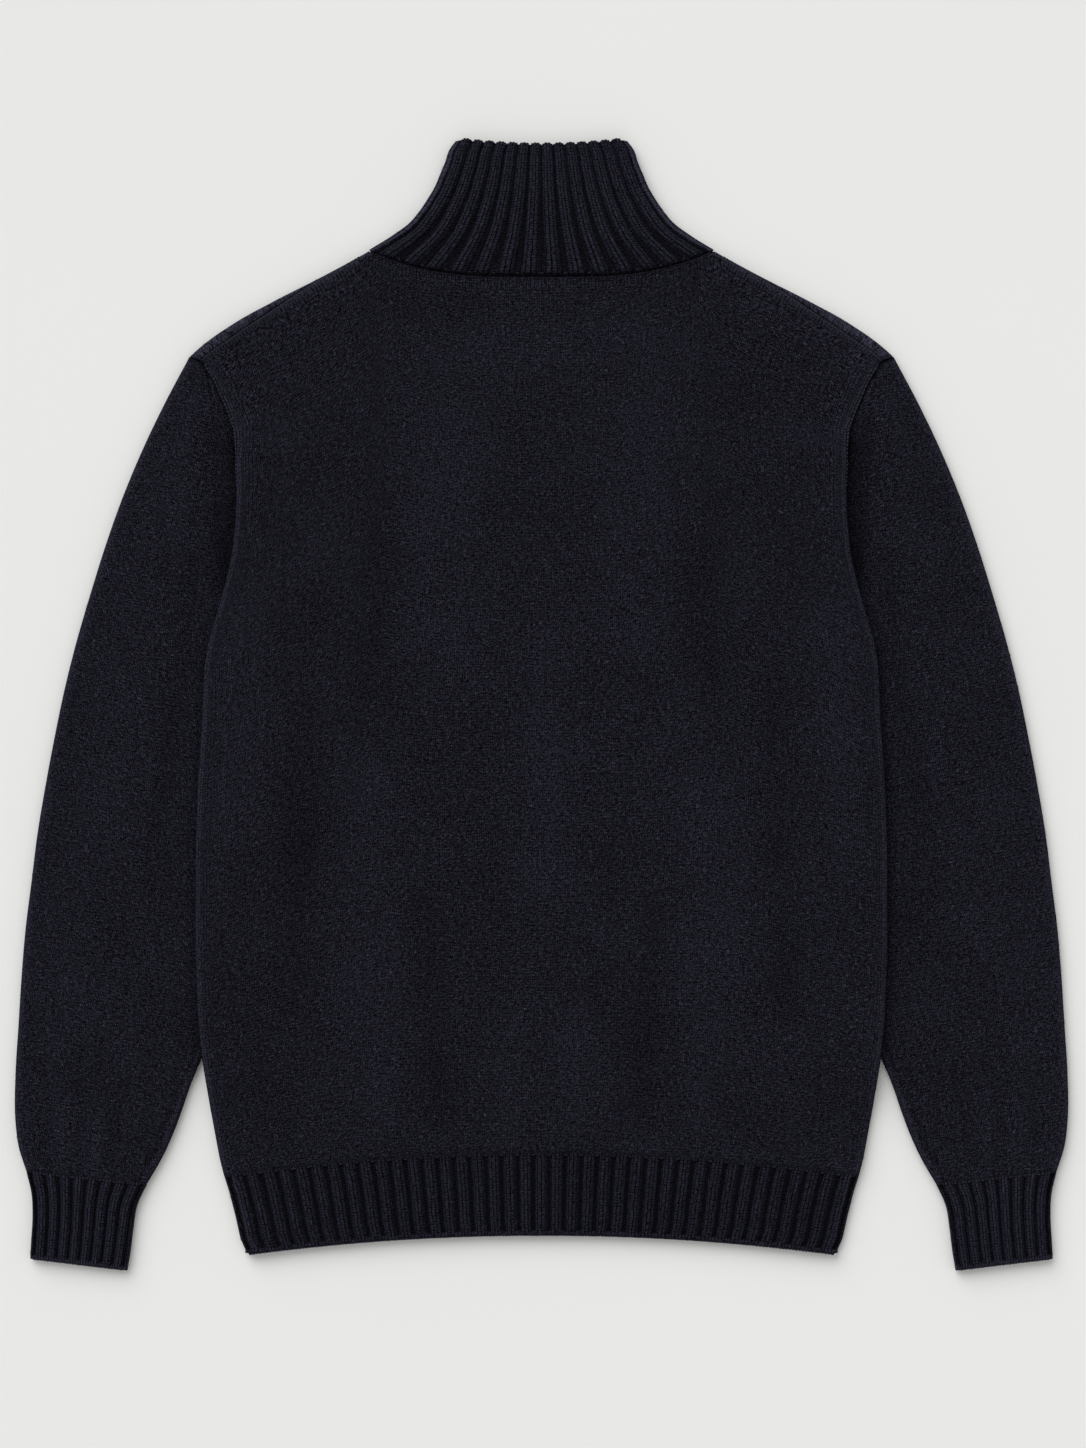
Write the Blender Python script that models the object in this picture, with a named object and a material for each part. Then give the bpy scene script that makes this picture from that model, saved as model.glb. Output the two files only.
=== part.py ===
"""A knitted half-zip sweater laid flat with its back upward, sleeves down at its sides.

Lengths in the tables are millimetres. The collar points to +Y and the front lies on Z = 0.
"""
import math

import bmesh
import bpy
import numpy as np

MM = 0.001

# cloth
WALL = 2.6                  # plain knit of the body and sleeves
SEAM_GAP = 0.4              # between two pieces at a seam
BODY_HIGH = 7.6             # front and back panel together, with the air between them
SLEEVE_HIGH = 7.2           # both layers of a sleeve
LIFT = 7.9                  # how far the body's sides are raised where a sleeve lies under them
RAMP = 28.0                 # width of the slope up to that raised strip
RAMP_FLAT = 6.0             # raised strip beyond the sleeve's edge
LIFT_TOP = (204.0, 174.0)   # heights between which the raised strip begins below the armhole
LIFT_END = (-292.0, -250.0)         # and between which it has come down above the hem
SIDE_TURN = math.acos(SEAM_GAP / BODY_HIGH)     # the cloth's turn down to the side seam
SIDE_ROLL = BODY_HIGH / 2 * SIDE_TURN           # its length round that turn
SIDE_REACH = BODY_HIGH / 2 * math.sin(SIDE_TURN)
EDGE_TURNS = (190.0, 168.0)         # the cut edge at the armhole becomes the turned side
BACK_BORDER = 9.0           # back panel beside its neck and shoulder seams

# hem, cuffs and collar
HEM_RIBS = 39
HEM_LOW, HEM_WALL, HEM_RISE = 4.2, 2.2, 1.8
HEM_HIGH = HEM_LOW + HEM_WALL
HEM_DEEP = 56.7             # height of the hem rib
HEM_CURVE = 13.9            # how far the hem line sinks from the centre to x = 208
HEM_TOP = -313.6            # seam above the hem at the centre
HEM_CORNER = -329.6         # and at the sides
CUFF_RIBS = 8
CUFF_RISE = 1.6
CUFF_HIGH = 6.3
COLLAR_RIBS = 14
COLLAR_WALL, COLLAR_RISE, COLLAR_FRONT = 2.3, 1.8, 3.2
COLLAR_LOW = (5.0, 6.7)     # underside of the back of the collar, at its seam and above

# front opening
SLIT = 4.75                 # half the width of the opening
SLIT_END = 100.0
SLIT_SNAP = 16.0            # the front's row this near the opening's end is moved onto it
COLLAR_FRONT_TOP = 352.0
TAPE_LOW, TAPE_THICK, TAPE_WIDE = 3.5, 0.8, 13.0
TAPE_TOP = 349.0
NOTCH, NOTCH_START = 1.6, 340.8         # the tapes part round the slider's post

# zip slider and its pull
SLIDER_HALF, SLIDER_ENDS = 4.2, (331.0, 344.0)
PLATE_LOW, PLATE_THICK, BACK_PLATE_LOW = 2.3, 0.9, 4.6
POST_HALF, POST_START = 1.2, 341.2
BRIDGE_HALF, BRIDGE_ENDS = 0.9, (333.0, 342.0)
BRIDGE_LOW, BRIDGE_FLOOR, BRIDGE_LEG = 0.3, 0.55, 1.2
PIVOT = (0.0, 336.9, 1.57)
PULL_BAR, PULL_ARM, PULL_HALF = 0.8, 1.7, 3.2
PULL_EYE, PULL_LONG = 5.9, 30.0

# height, half width: the body's side edge as it lies
SIDE = (
    (-384.0, 207.6), (-375.9, 211.0), (-359.1, 214.6), (-342.3, 218.8), (-329.6, 222.6),
    (-317.1, 225.8), (-283.5, 232.0), (-248.5, 237.0), (-220.5, 240.1), (-171.5, 241.9),
    (-101.5, 241.9), (-59.5, 240.5), (-10.5, 237.3), (25.9, 235.9), (43.4, 233.1),
    (62.3, 227.5), (86.8, 220.5), (105.7, 216.3), (130.2, 213.9), (154.7, 213.2),
    (175.7, 213.9), (192.9, 215.7), (208.6, 221.8), (226.8, 229.6), (240.8, 238.4),
)
# heights of the body's rows, read along its side edge
BODY_ROWS = (-308.0, -283.5, -262.0, -248.0, -236.0, -220.0, -190.0, -150.0, -100.0, -50.0, 0.0,
             45.0, 87.0, 120.0, 148.0, 163.0, 174.0, 186.0, 198.0, 210.0, 220.0, 227.0, 233.0,
             238.5)
# shares of the half width at which the body's columns lie
BODY_COLUMNS = (0.12, 0.25, 0.36, 0.44, 0.48, 0.5, 0.6, 0.68, 0.73, 0.78, 0.82, 0.86, 0.9, 0.94,
                0.97)
NECK_SHARE = 0.5            # the share at which the neckline meets the shoulder

# shares of a sleeve's length at which its rows lie
SLEEVE_ROWS = (0.0, 0.03, 0.07, 0.11, 0.16, 0.21, 0.27, 0.33, 0.4, 0.47, 0.54, 0.61, 0.68, 0.75,
               0.81, 0.87, 0.92, 0.96, 1.0)
# shares of the collar's height, with how much of their rise the ribs have there
COLLAR_ROWS = ((0.0, 1.0), (0.07, 1.0), (0.16, 1.0), (0.3, 1.0), (0.48, 1.0), (0.66, 1.0),
               (0.82, 1.0), (0.95, 1.0), (1.0, 0.45))

# x, y: half of each line, on the right
BACK_NECK = ((0.0, 299.6), (20.0, 299.8), (51.5, 300.7), (73.5, 303.4), (93.5, 308.0),
             (109.2, 313.3), (120.8, 318.4))
FRONT_NECK = ((SLIT, 262.0), (30.0, 264.0), (60.0, 272.0), (85.0, 285.0), (104.0, 300.0),
              (114.0, 310.0), (120.8, 318.4))
SHOULDER = ((121.2, 317.8), (129.9, 312.9), (145.3, 304.5), (161.4, 296.1), (178.2, 287.7),
            (194.3, 279.3), (209.7, 270.9), (223.0, 262.5), (235.6, 254.1), (246.4, 243.9))
ARMHOLE = ((247.0, 243.3), (238.8, 240.4), (230.0, 226.5), (222.2, 208.3), (216.1, 192.7),
           (214.3, 175.7), (212.3, 154.0), (207.5, 130.0), (201.5, 108.0), (196.0, 90.0))
SLEEVE_OUTER = ((247.0, 243.3), (263.6, 212.1), (279.7, 178.5), (293.7, 144.9), (305.6, 111.3),
                (316.1, 77.7), (325.9, 44.1), (334.3, 10.5), (341.3, -23.1), (347.6, -56.7),
                (353.2, -90.3), (357.4, -123.9), (361.6, -157.5), (364.4, -191.1),
                (366.5, -224.7), (368.6, -258.3), (368.6, -291.9), (366.5, -308.7),
                (361.2, -325.8))
SLEEVE_INNER = ((196.0, 90.0), (188.0, 40.0), (184.0, 0.0), (186.0, -40.0), (191.0, -80.0),
                (198.0, -120.0), (208.0, -165.0), (221.0, -205.0), (232.0, -235.0),
                (239.0, -249.9), (246.0, -266.7), (251.7, -283.5), (258.0, -300.3),
                (265.7, -317.1), (276.0, -334.9))
CUFF_OUTER = ((361.1, -326.2), (357.4, -342.3), (356.7, -359.1), (357.6, -375.0), (358.3, -386.8))
CUFF_INNER = ((276.2, -335.3), (283.2, -350.7), (286.0, -367.5), (288.1, -384.3), (290.0, -395.0))
COLLAR_SIDE = ((120.8, 318.9), (103.3, 329.7), (92.1, 338.1), (85.1, 346.5), (79.5, 354.9),
               (74.6, 363.3), (71.1, 371.7), (67.6, 380.1), (64.8, 388.5), (60.5, 394.5))
COLLAR_TOP_DIP = 3.4        # how far the collar's back edge sinks at the centre

SHOULDER_WRAP = 4.0         # front panel shown on the back beside the sleeve, past its fold
RIB_VALLEY = 0.18           # share of the hem's rib pitch from a valley to the rib's shoulder
COLLAR_VALLEY = (0.27, 0.16)        # the same at the collar's seam and at its top edge
CORNER_SHARE = 0.965        # share of the neckline where the collar's side fold begins

NAVY = (0.0095, 0.0090, 0.0150, 1.0)
RIB_NAVY = (0.0088, 0.0084, 0.0140, 1.0)
TAPE_NAVY = (0.0070, 0.0075, 0.0130, 1.0)
STEEL = (0.30, 0.30, 0.31, 1.0)


def smooth(share):
    """Ease from 0 to 1."""
    share = min(1.0, max(0.0, share))
    return share * share * (3.0 - 2.0 * share)


def mix(one, two, share):
    return one + (two - one) * share


def path(table):
    """A smooth line through x, y rows, read by its share of the length."""
    points = np.array(table, float)
    gaps = np.linalg.norm(np.diff(points, axis=0), axis=1)
    marks = np.concatenate(([0.0], np.cumsum(gaps)))
    slopes = np.gradient(points, marks, axis=0)

    def read(share):
        where = min(1.0, max(0.0, share)) * marks[-1]
        at = min(int(np.searchsorted(marks, where, side="right")) - 1, len(gaps) - 1)
        t = (where - marks[at]) / gaps[at]
        rest = 1.0 - t
        start = points[at] * (1.0 + 2.0 * t) * rest * rest
        end = points[at + 1] * (3.0 - 2.0 * t) * t * t
        lean = slopes[at] * t * rest * rest - slopes[at + 1] * t * t * rest
        return start + end + lean * gaps[at]

    return read


def length(table):
    """Length of the line through x, y rows."""
    return float(np.sum(np.linalg.norm(np.diff(np.array(table), axis=0), axis=1)))


def side_x(y):
    table = np.array(SIDE)
    return float(np.interp(y, table[:, 0], table[:, 1]))


def hidden_edge_x(y):
    """Where the sleeve's inner edge lies under the body."""
    table = np.array(ARMHOLE[5:] + SLEEVE_INNER[1:])[::-1]
    return float(np.interp(y, table[:, 1], table[:, 0]))


def body_lift(x, y):
    """How high the front panel's underside is above the surface it lies on."""
    across = (abs(x) - hidden_edge_x(y) + RAMP) / (RAMP - RAMP_FLAT)
    upper = smooth((LIFT_TOP[0] - y) / (LIFT_TOP[0] - LIFT_TOP[1]))
    lower = smooth((y - LIFT_END[0]) / (LIFT_END[1] - LIFT_END[0]))
    return LIFT * smooth(across) * upper * lower


def hem_line(x, centre):
    return centre - HEM_CURVE * (x / 208.0) ** 2


def patch(low, high, inner, outer, share_u, share_v):
    """A point of the four-sided field between two crossing pairs of lines."""
    across = mix(low(share_u), high(share_u), share_v)
    along = mix(inner, outer, share_u)
    corners = mix(mix(low(0.0), high(0.0), share_v), mix(low(1.0), high(1.0), share_v), share_u)
    return across + along - corners


def material(name, colour, roughness, metallic):
    mat = bpy.data.materials.new(name)
    mat.use_nodes = True
    shader = mat.node_tree.nodes["Principled BSDF"]
    shader.inputs["Base Color"].default_value = colour
    shader.inputs["Roughness"].default_value = roughness
    shader.inputs["Metallic"].default_value = metallic
    mat.diffuse_color = colour
    return mat


def new_object(name, mesh_builder, mat):
    bmesh.ops.recalc_face_normals(mesh_builder, faces=mesh_builder.faces[:])
    mesh = bpy.data.meshes.new(name)
    mesh_builder.to_mesh(mesh)
    mesh_builder.free()
    mesh.materials.append(mat)
    obj = bpy.data.objects.new(name, mesh)
    bpy.context.scene.collection.objects.link(obj)
    return obj


def wall(name, outer, inner, mat, closed=False, skip=None):
    """A sheet of cloth between an outer and an inner grid of points, closed at its edges."""
    rows, columns = len(outer), len(outer[0])
    spans = columns if closed else columns - 1
    kept = {(r, c) for r in range(rows - 1) for c in range(spans)
            if not (skip and skip(r, c))}
    used = set()
    for r, c in kept:
        nxt = (c + 1) % columns
        used.update(((r, c), (r + 1, c), (r, nxt), (r + 1, nxt)))
    sheet = bmesh.new()
    points = {}
    for side, grid in enumerate((outer, inner)):
        for r, c in sorted(used):
            points[side, r, c] = sheet.verts.new([value * MM for value in grid[r][c]])

    def face(*keys):
        sheet.faces.new([points[key] for key in keys])

    for r, c in sorted(kept):
        nxt = (c + 1) % columns
        face((0, r, c), (0, r, nxt), (0, r + 1, nxt), (0, r + 1, c))
        face((1, r, c), (1, r + 1, c), (1, r + 1, nxt), (1, r, nxt))
        before = (c - 1) % columns if closed else c - 1
        after = nxt if closed else c + 1
        if (r - 1, c) not in kept:
            face((0, r, c), (1, r, c), (1, r, nxt), (0, r, nxt))
        if (r + 1, c) not in kept:
            face((0, r + 1, nxt), (1, r + 1, nxt), (1, r + 1, c), (0, r + 1, c))
        if (r, before) not in kept:
            face((0, r + 1, c), (1, r + 1, c), (1, r, c), (0, r, c))
        if (r, after) not in kept:
            face((0, r, nxt), (1, r, nxt), (1, r + 1, nxt), (0, r + 1, nxt))
    bmesh.ops.triangulate(sheet, faces=sheet.faces[:])
    return new_object(name, sheet, mat)


def mirrored(half_row):
    """A full row from its right half, whose first point lies right of the centre."""
    left = [(-x, y, z) for x, y, z in reversed(half_row)]
    return left + list(half_row)


# ---- front and back panels ----

def side_roll(turn, high=BODY_HIGH, cloth=WALL, steps=3):
    """Steps of the cloth's turn at the side: run and rise, outside then inside."""
    limit = max((high - SEAM_GAP) / 2.0, cloth)
    long = high / 2.0 * SIDE_TURN
    found = []
    for step in range(1, steps + 1):
        share = step / steps
        angle = turn * share
        curve = long / turn if turn > 0.02 else 0.0
        run = curve * math.sin(angle) if curve else long * share
        rise = curve * (1.0 - math.cos(angle))
        inner_rise = min(rise + cloth * math.cos(angle), limit)
        found.append((run, rise, run - cloth * math.sin(angle), inner_rise))
    return found


def shoulder_point(share, deep):
    """A point at a distance inside the shoulder's outline."""
    line = path(SHOULDER)(share)
    way = mix(np.array((0.0, -1.0)), np.array((-0.5, -0.866)), smooth(share / 0.2))
    plain = line + way * deep
    armhole = path(ARMHOLE)
    tip = armhole(deep / length(ARMHOLE)) + SHOULDER[-1] - np.array(ARMHOLE[0])
    return mix(plain, tip, smooth((share - 0.8) / 0.2))


def shoulder_seam(share):
    """Cloth length from the front's flat part, round the shoulder fold, to its seam."""
    radius = BODY_HIGH / 2.0
    return mix(radius * math.pi / 2.0, radius * math.pi + SHOULDER_WRAP, smooth(share * 1.2))


def shoulder_section(length):
    """Distance inside the outline and height, outer then inner, at a length round the fold."""
    radius = BODY_HIGH / 2.0
    angle = min(math.pi, max(0.0, length / radius))
    beyond = max(0.0, length - math.pi * radius)
    return [(radius - size * math.sin(angle) + beyond, radius - size * math.cos(angle))
            for size in (radius, radius - WALL)]


def body_panel(upward):
    """Outer and inner points of the right half of the back (upward) or the front panel."""
    radius = BODY_HIGH / 2.0
    neck = path(BACK_NECK if upward else FRONT_NECK)
    first_x = 0.0 if upward else SLIT
    border = BACK_BORDER if upward else radius
    inside = radius + border if upward else radius
    roll_share = 1.0 - SIDE_ROLL / length(SHOULDER)

    def top(share):
        """The upper end of the field, clear of the seams."""
        if share < NECK_SHARE - 0.001:
            return neck(share / NECK_SHARE) - np.array((0.0, border))
        return shoulder_point((share - NECK_SHARE) / (1.0 - NECK_SHARE) * roll_share, inside)

    def bottom(share):
        x = mix(first_x, side_x(HEM_CORNER) - SIDE_REACH, share)
        return np.array((x, hem_line(x, HEM_TOP)))

    def surfaces(x, y):
        base = body_lift(x, y)
        return (base + BODY_HIGH, base + BODY_HIGH - WALL) if upward else (base, base + WALL)

    columns = (0.0,) + BODY_COLUMNS + (1.0,)
    end_x, end_y = top(1.0)
    side_rows = (HEM_CORNER,) + tuple(y for y in BODY_ROWS if y < end_y - 2.0) + (end_y,)
    rows = []
    for y_side in side_rows:
        share_v = (y_side - HEM_CORNER) / (end_y - HEM_CORNER)
        y_centre = mix(HEM_TOP, top(0.0)[1], share_v)
        if not upward and abs(y_centre - SLIT_END) < SLIT_SNAP:
            y_centre = SLIT_END
        turn = SIDE_TURN * smooth((EDGE_TURNS[0] - y_side) / (EDGE_TURNS[0] - EDGE_TURNS[1]))
        steps = side_roll(turn)
        x_side = side_x(y_side) - SEAM_GAP / 2.0 - steps[-1][0]
        if y_side == HEM_CORNER:
            x_side, y_side = bottom(1.0)
        if y_side == end_y:
            x_side = end_x
        side = np.array((x_side, y_side))
        outer, inner = [], []
        for share in columns:
            x, y = patch(bottom, top, np.array((first_x, y_centre)), side, share, share_v)
            z_outer, z_inner = surfaces(x, y)
            outer.append((x, y, z_outer))
            inner.append((x, y, z_inner))
        base = body_lift(x_side + SIDE_REACH, y_side)
        for number, (run, rise, run_in, rise_in) in enumerate(steps, 1):
            x, x_in, y = x_side + run, x_side + run_in, y_side
            if y_side == end_y:
                along = mix(roll_share, 1.0, number / len(steps))
                x, y = shoulder_point(along, inside)
                x_in = x
            if upward:
                rise, rise_in = BODY_HIGH - rise, BODY_HIGH - rise_in
            outer.append((x, y, base + rise))
            inner.append((x_in, y, base + rise_in))
        rows.append((outer, inner))

    fold_steps = 3 if upward else 5
    roll_columns = [1.0 + number / 3.0 for number in (1, 2, 3)]
    for step in range(1, fold_steps + 1):
        share_step = step / fold_steps
        outer, inner = [], []
        for share in list(columns) + roll_columns:
            if share < NECK_SHARE - 0.001:
                x, y = top(share)
                y += share_step * (border - SEAM_GAP / 2.0)
                z_outer, z_inner = surfaces(x, y)
                outer.append((x, y, z_outer))
                inner.append((x, y, z_inner))
                continue
            along = (share - NECK_SHARE) / (1.0 - NECK_SHARE) * roll_share
            if share > 1.0:
                along = mix(roll_share, 1.0, share - 1.0)
            seam = shoulder_seam(along)
            start = math.pi * radius + border if upward else 0.0
            gap = SEAM_GAP / 2.0 if upward else -SEAM_GAP / 2.0
            section = shoulder_section(mix(start, seam + gap, share_step))
            for points, (deep, z) in zip((outer, inner), section):
                x, y = shoulder_point(along, deep)
                points.append((x, y, z))
        rows.append((outer, inner))
    return rows


def make_body(mat):
    back = body_panel(True)
    outer = [[(-x, y, z) for x, y, z in row[:0:-1]] + row for row, _ in back]
    inner = [[(-x, y, z) for x, y, z in row[:0:-1]] + row for _, row in back]
    wall("back_panel", outer, inner, mat)

    front = body_panel(False)
    outer = [mirrored(row) for row, _ in front]
    inner = [mirrored(row) for _, row in front]
    middle = len(outer[0]) // 2 - 1

    def opening(row, column):
        return column == middle and outer[row][middle][1] > SLIT_END - 1.0

    wall("front_panel", outer, inner, mat, skip=opening)


# ---- hem ----

def rib_shares(count, valley):
    """Shares from -1 to 1 with how far each is raised: a valley, then a rib's two shoulders."""
    found = []
    for number in range(count):
        start = -1.0 + 2.0 * number / count
        for share, rise in ((0.0, 0.0), (valley, 1.0), (1.0 - valley, 1.0)):
            found.append((start + 2.0 * share / count, rise))
    found.append((1.0, 0.0))
    return found


def make_hem(upward, mat):
    shares = rib_shares(HEM_RIBS, RIB_VALLEY) if upward else [(step / 8.0, 0.0) for step in range(-8, 9)]
    cloth = HEM_WALL if upward else WALL
    roll = side_roll(SIDE_TURN, HEM_HIGH, cloth)
    outer, inner = [], []
    for deep, rise_share in ((0.0, 1.0), (0.5, 1.0), (0.94, 1.0), (1.0, 0.45)):
        x_side = side_x(mix(HEM_CORNER, HEM_CORNER - HEM_DEEP, deep)) - roll[-1][0]
        centre = HEM_TOP - SEAM_GAP - (HEM_DEEP - SEAM_GAP) * deep
        row_outer, row_inner = [], []
        for share, rise in shares:
            x = share * x_side
            y = hem_line(x, centre)
            top = HEM_HIGH + HEM_RISE * rise * rise_share
            row_outer.append((x, y, top if upward else 0.0))
            row_inner.append((x, y, HEM_LOW if upward else WALL))
        y = hem_line(x_side, centre)
        for run, rise, run_in, rise_in in roll:
            z, z_in = (HEM_HIGH - rise, HEM_HIGH - rise_in) if upward else (rise, rise_in)
            row_outer.append((x_side + run, y, z))
            row_inner.append((x_side + run_in, y, z_in))
            row_outer.insert(0, (-x_side - run, y, z))
            row_inner.insert(0, (-x_side - run_in, y, z_in))
        outer.append(row_outer)
        inner.append(row_inner)
    wall("hem_rib_back" if upward else "hem_rib_front", outer, inner, mat)


# ---- sleeves and cuffs ----

def tube_ring(high, gap_low, gap_high, shares, plain):
    """Points round a flattened tube: share, shift in from that edge and height, twice.

    shares run over the top layer from one edge to the other, each with its rise.
    """
    radius = high / 2.0
    centre = (gap_low + gap_high) / 2.0
    small = (gap_high - gap_low) / 2.0
    ring = [(share, 0.0, 0.0, 0.0, gap_low) for share in plain]
    turns = [math.radians(angle) for angle in (45, 90, 135)]
    for angle in turns:
        ring.append((1.0, radius - radius * math.sin(angle), radius - radius * math.cos(angle),
                     radius - small * math.sin(angle), centre - small * math.cos(angle)))
    for share, rise in reversed(shares):
        ring.append((share, 0.0, high + rise, 0.0, gap_high))
    for angle in reversed(turns):
        ring.append((0.0, radius - radius * math.sin(angle), radius - radius * math.cos(angle),
                     radius - small * math.sin(angle), centre - small * math.cos(angle)))
    return ring


def make_tube(name, low, high_line, edge_one, edge_two, stations, ring, radius, side, mat):
    """A flattened tube whose cross lines run from one edge to the other."""
    outer, inner = [], []
    for share_v, rise_share in stations:
        def place(share):
            return patch(low, high_line, edge_one(share_v), edge_two(share_v), share, share_v)

        line = [place(step / 12.0) for step in range(13)]
        wide = sum(float(np.linalg.norm(b - a)) for a, b in zip(line, line[1:]))
        row_outer, row_inner = [], []
        for share, shift, z, shift_in, z_in in ring:
            for row, move, height in ((row_outer, shift, z), (row_inner, shift_in, z_in)):
                if shift == 0.0 and shift_in == 0.0:
                    at = mix(radius / wide, 1.0 - radius / wide, share)
                else:
                    at = move / wide if share == 0.0 else 1.0 - move / wide
                x, y = place(at)
                if height > 2.0 * radius:
                    height = 2.0 * radius + (height - 2.0 * radius) * rise_share
                row.append((x * side, y, height))
        outer.append(row_outer)
        inner.append(row_inner)
    wall(name, outer, inner, mat, closed=True)


def make_sleeves(cloth, rib_cloth):
    flat = (0.0, 0.1, 0.2, 0.3, 0.4, 0.5, 0.62, 0.8, 1.0)
    sleeve = tube_ring(SLEEVE_HIGH, WALL, SLEEVE_HIGH - WALL, [(share, 0.0) for share in flat],
                       flat)
    ribs = [((share + 1.0) / 2.0, rise * CUFF_RISE) for share, rise in rib_shares(CUFF_RIBS, RIB_VALLEY)]
    cuff = tube_ring(CUFF_HIGH, WALL, HEM_LOW, ribs, (0.0, 1.0))
    rows = [(share, 0.0) for share in SLEEVE_ROWS]
    cuff_rows = ((0.0, 1.0), (0.3, 1.0), (0.6, 1.0), (0.94, 1.0), (1.0, 0.45))
    sleeve_end = path((SLEEVE_OUTER[-1], SLEEVE_INNER[-1]))
    cuff_top = path((CUFF_OUTER[0], CUFF_INNER[0]))
    cuff_end = path((CUFF_OUTER[-1], CUFF_INNER[-1]))
    for name, side in (("left", -1.0), ("right", 1.0)):
        make_tube("sleeve_" + name, path(ARMHOLE), sleeve_end, path(SLEEVE_OUTER),
                  path(SLEEVE_INNER), rows, sleeve, SLEEVE_HIGH / 2.0, side, cloth)
        make_tube("cuff_" + name, cuff_top, cuff_end, path(CUFF_OUTER), path(CUFF_INNER),
                  cuff_rows, cuff, CUFF_HIGH / 2.0, side, rib_cloth)


# ---- collar ----

def collar_side(share):
    """The collar's folded side edge and the directions inward from it, back then front."""
    line = path(COLLAR_SIDE)
    point = line(share)
    along = line(share + 0.02) - line(share - 0.02)
    inward = np.array((-along[1], along[0])) / np.linalg.norm(along)
    inward = mix(inward, np.array((-1.0, 0.1)), smooth((share - 0.8) / 0.2))
    seam = smooth(share / 0.15)
    return (point, mix(np.array((-0.86, -0.51)), inward, seam),
            mix(np.array((-0.64, -0.77)), inward, seam))


def make_collar(mat):
    back_neck, front_neck = path(BACK_NECK), path(FRONT_NECK)
    outer, inner = [], []

    def corner(front, share_v, radius):
        point, back_way, front_way = collar_side(share_v)
        return point + (front_way if front else back_way) * radius

    for share_v, rise_share in COLLAR_ROWS:
        low = mix(COLLAR_LOW[0], COLLAR_LOW[1], smooth(share_v / 0.35))
        high = low + COLLAR_WALL
        radius = high / 2.0
        small, middle = (low - COLLAR_FRONT) / 2.0, (low + COLLAR_FRONT) / 2.0

        def back(share):
            def base(s):
                return back_neck(s * CORNER_SHARE) + np.array((0.0, SEAM_GAP))

            def top(s):
                x, y = corner(False, 1.0, radius)
                return np.array((x * s, y - COLLAR_TOP_DIP * (1.0 - s * s)))

            centre = np.array((0.0, mix(base(0.0)[1], top(0.0)[1], share_v)))
            return patch(base, top, centre, corner(False, share_v, radius), share, share_v)

        def front(share):
            def base(s):
                return front_neck(s * CORNER_SHARE) + np.array((0.0, SEAM_GAP))

            def top(s):
                x, y = corner(True, 1.0, radius)
                return np.array((mix(SLIT, x, s), mix(COLLAR_FRONT_TOP, y, s ** 2.2)))

            centre = np.array((SLIT, mix(base(0.0)[1], top(0.0)[1], share_v)))
            return patch(base, top, centre, corner(True, share_v, radius), share, share_v)

        half_outer, half_inner = [], []
        for share in (0.0, 0.25, 0.5, 0.75, 1.0):
            x, y = front(share)
            half_outer.append((x, y, 0.0))
            half_inner.append((x, y, COLLAR_FRONT))
        for degrees in (45, 90, 135):
            angle = math.radians(degrees)
            point, back_way, front_way = collar_side(share_v)
            way = mix(front_way, back_way, degrees / 180.0)
            for half, size, centre_z in ((half_outer, radius, radius),
                                         (half_inner, small, middle)):
                x, y = point + way * (radius - size * math.sin(angle))
                half.append((x, y, centre_z - size * math.cos(angle)))
        row_outer = [(-x, y, z) for x, y, z in half_outer]
        row_inner = [(-x, y, z) for x, y, z in half_inner]
        for share, rise in rib_shares(COLLAR_RIBS, mix(*COLLAR_VALLEY, share_v)):
            x, y = back(abs(share))
            x = math.copysign(x, share)
            row_outer.append((x, y, high + rise * rise_share * COLLAR_RISE))
            row_inner.append((x, y, low))
        outer.append(row_outer + half_outer[::-1])
        inner.append(row_inner + half_inner[::-1])
    wall("collar", outer, inner, mat)


# ---- zip ----

def block_solid(name, xs, ys, zs, filled, origin, mat):
    """A closed solid of the filled boxes between crossing planes, seen from its origin."""
    boxes = set()
    for i in range(len(xs) - 1):
        for j in range(len(ys) - 1):
            for k in range(len(zs) - 1):
                middle = ((xs[i] + xs[i + 1]) / 2, (ys[j] + ys[j + 1]) / 2,
                          (zs[k] + zs[k + 1]) / 2)
                if filled(*middle):
                    boxes.add((i, j, k))
    solid = bmesh.new()
    points = {}

    def point(i, j, k):
        if (i, j, k) not in points:
            place = (xs[i] - origin[0], ys[j] - origin[1], zs[k] - origin[2])
            points[i, j, k] = solid.verts.new([value * MM for value in place])
        return points[i, j, k]

    for box in sorted(boxes):
        for axis in range(3):
            one, two = (axis + 1) % 3, (axis + 2) % 3
            for end in (0, 1):
                beside = list(box)
                beside[axis] += 1 if end else -1
                if tuple(beside) in boxes:
                    continue
                face = []
                for step_one, step_two in ((0, 0), (1, 0), (1, 1), (0, 1)):
                    corner = list(box)
                    corner[axis] += end
                    corner[one] += step_one
                    corner[two] += step_two
                    face.append(point(*corner))
                solid.faces.new(face if end else face[::-1])
    bmesh.ops.dissolve_limit(solid, angle_limit=0.01, verts=solid.verts[:], edges=solid.edges[:])
    obj = new_object(name, solid, mat)
    obj.location = [value * MM for value in origin]
    return obj


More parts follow.
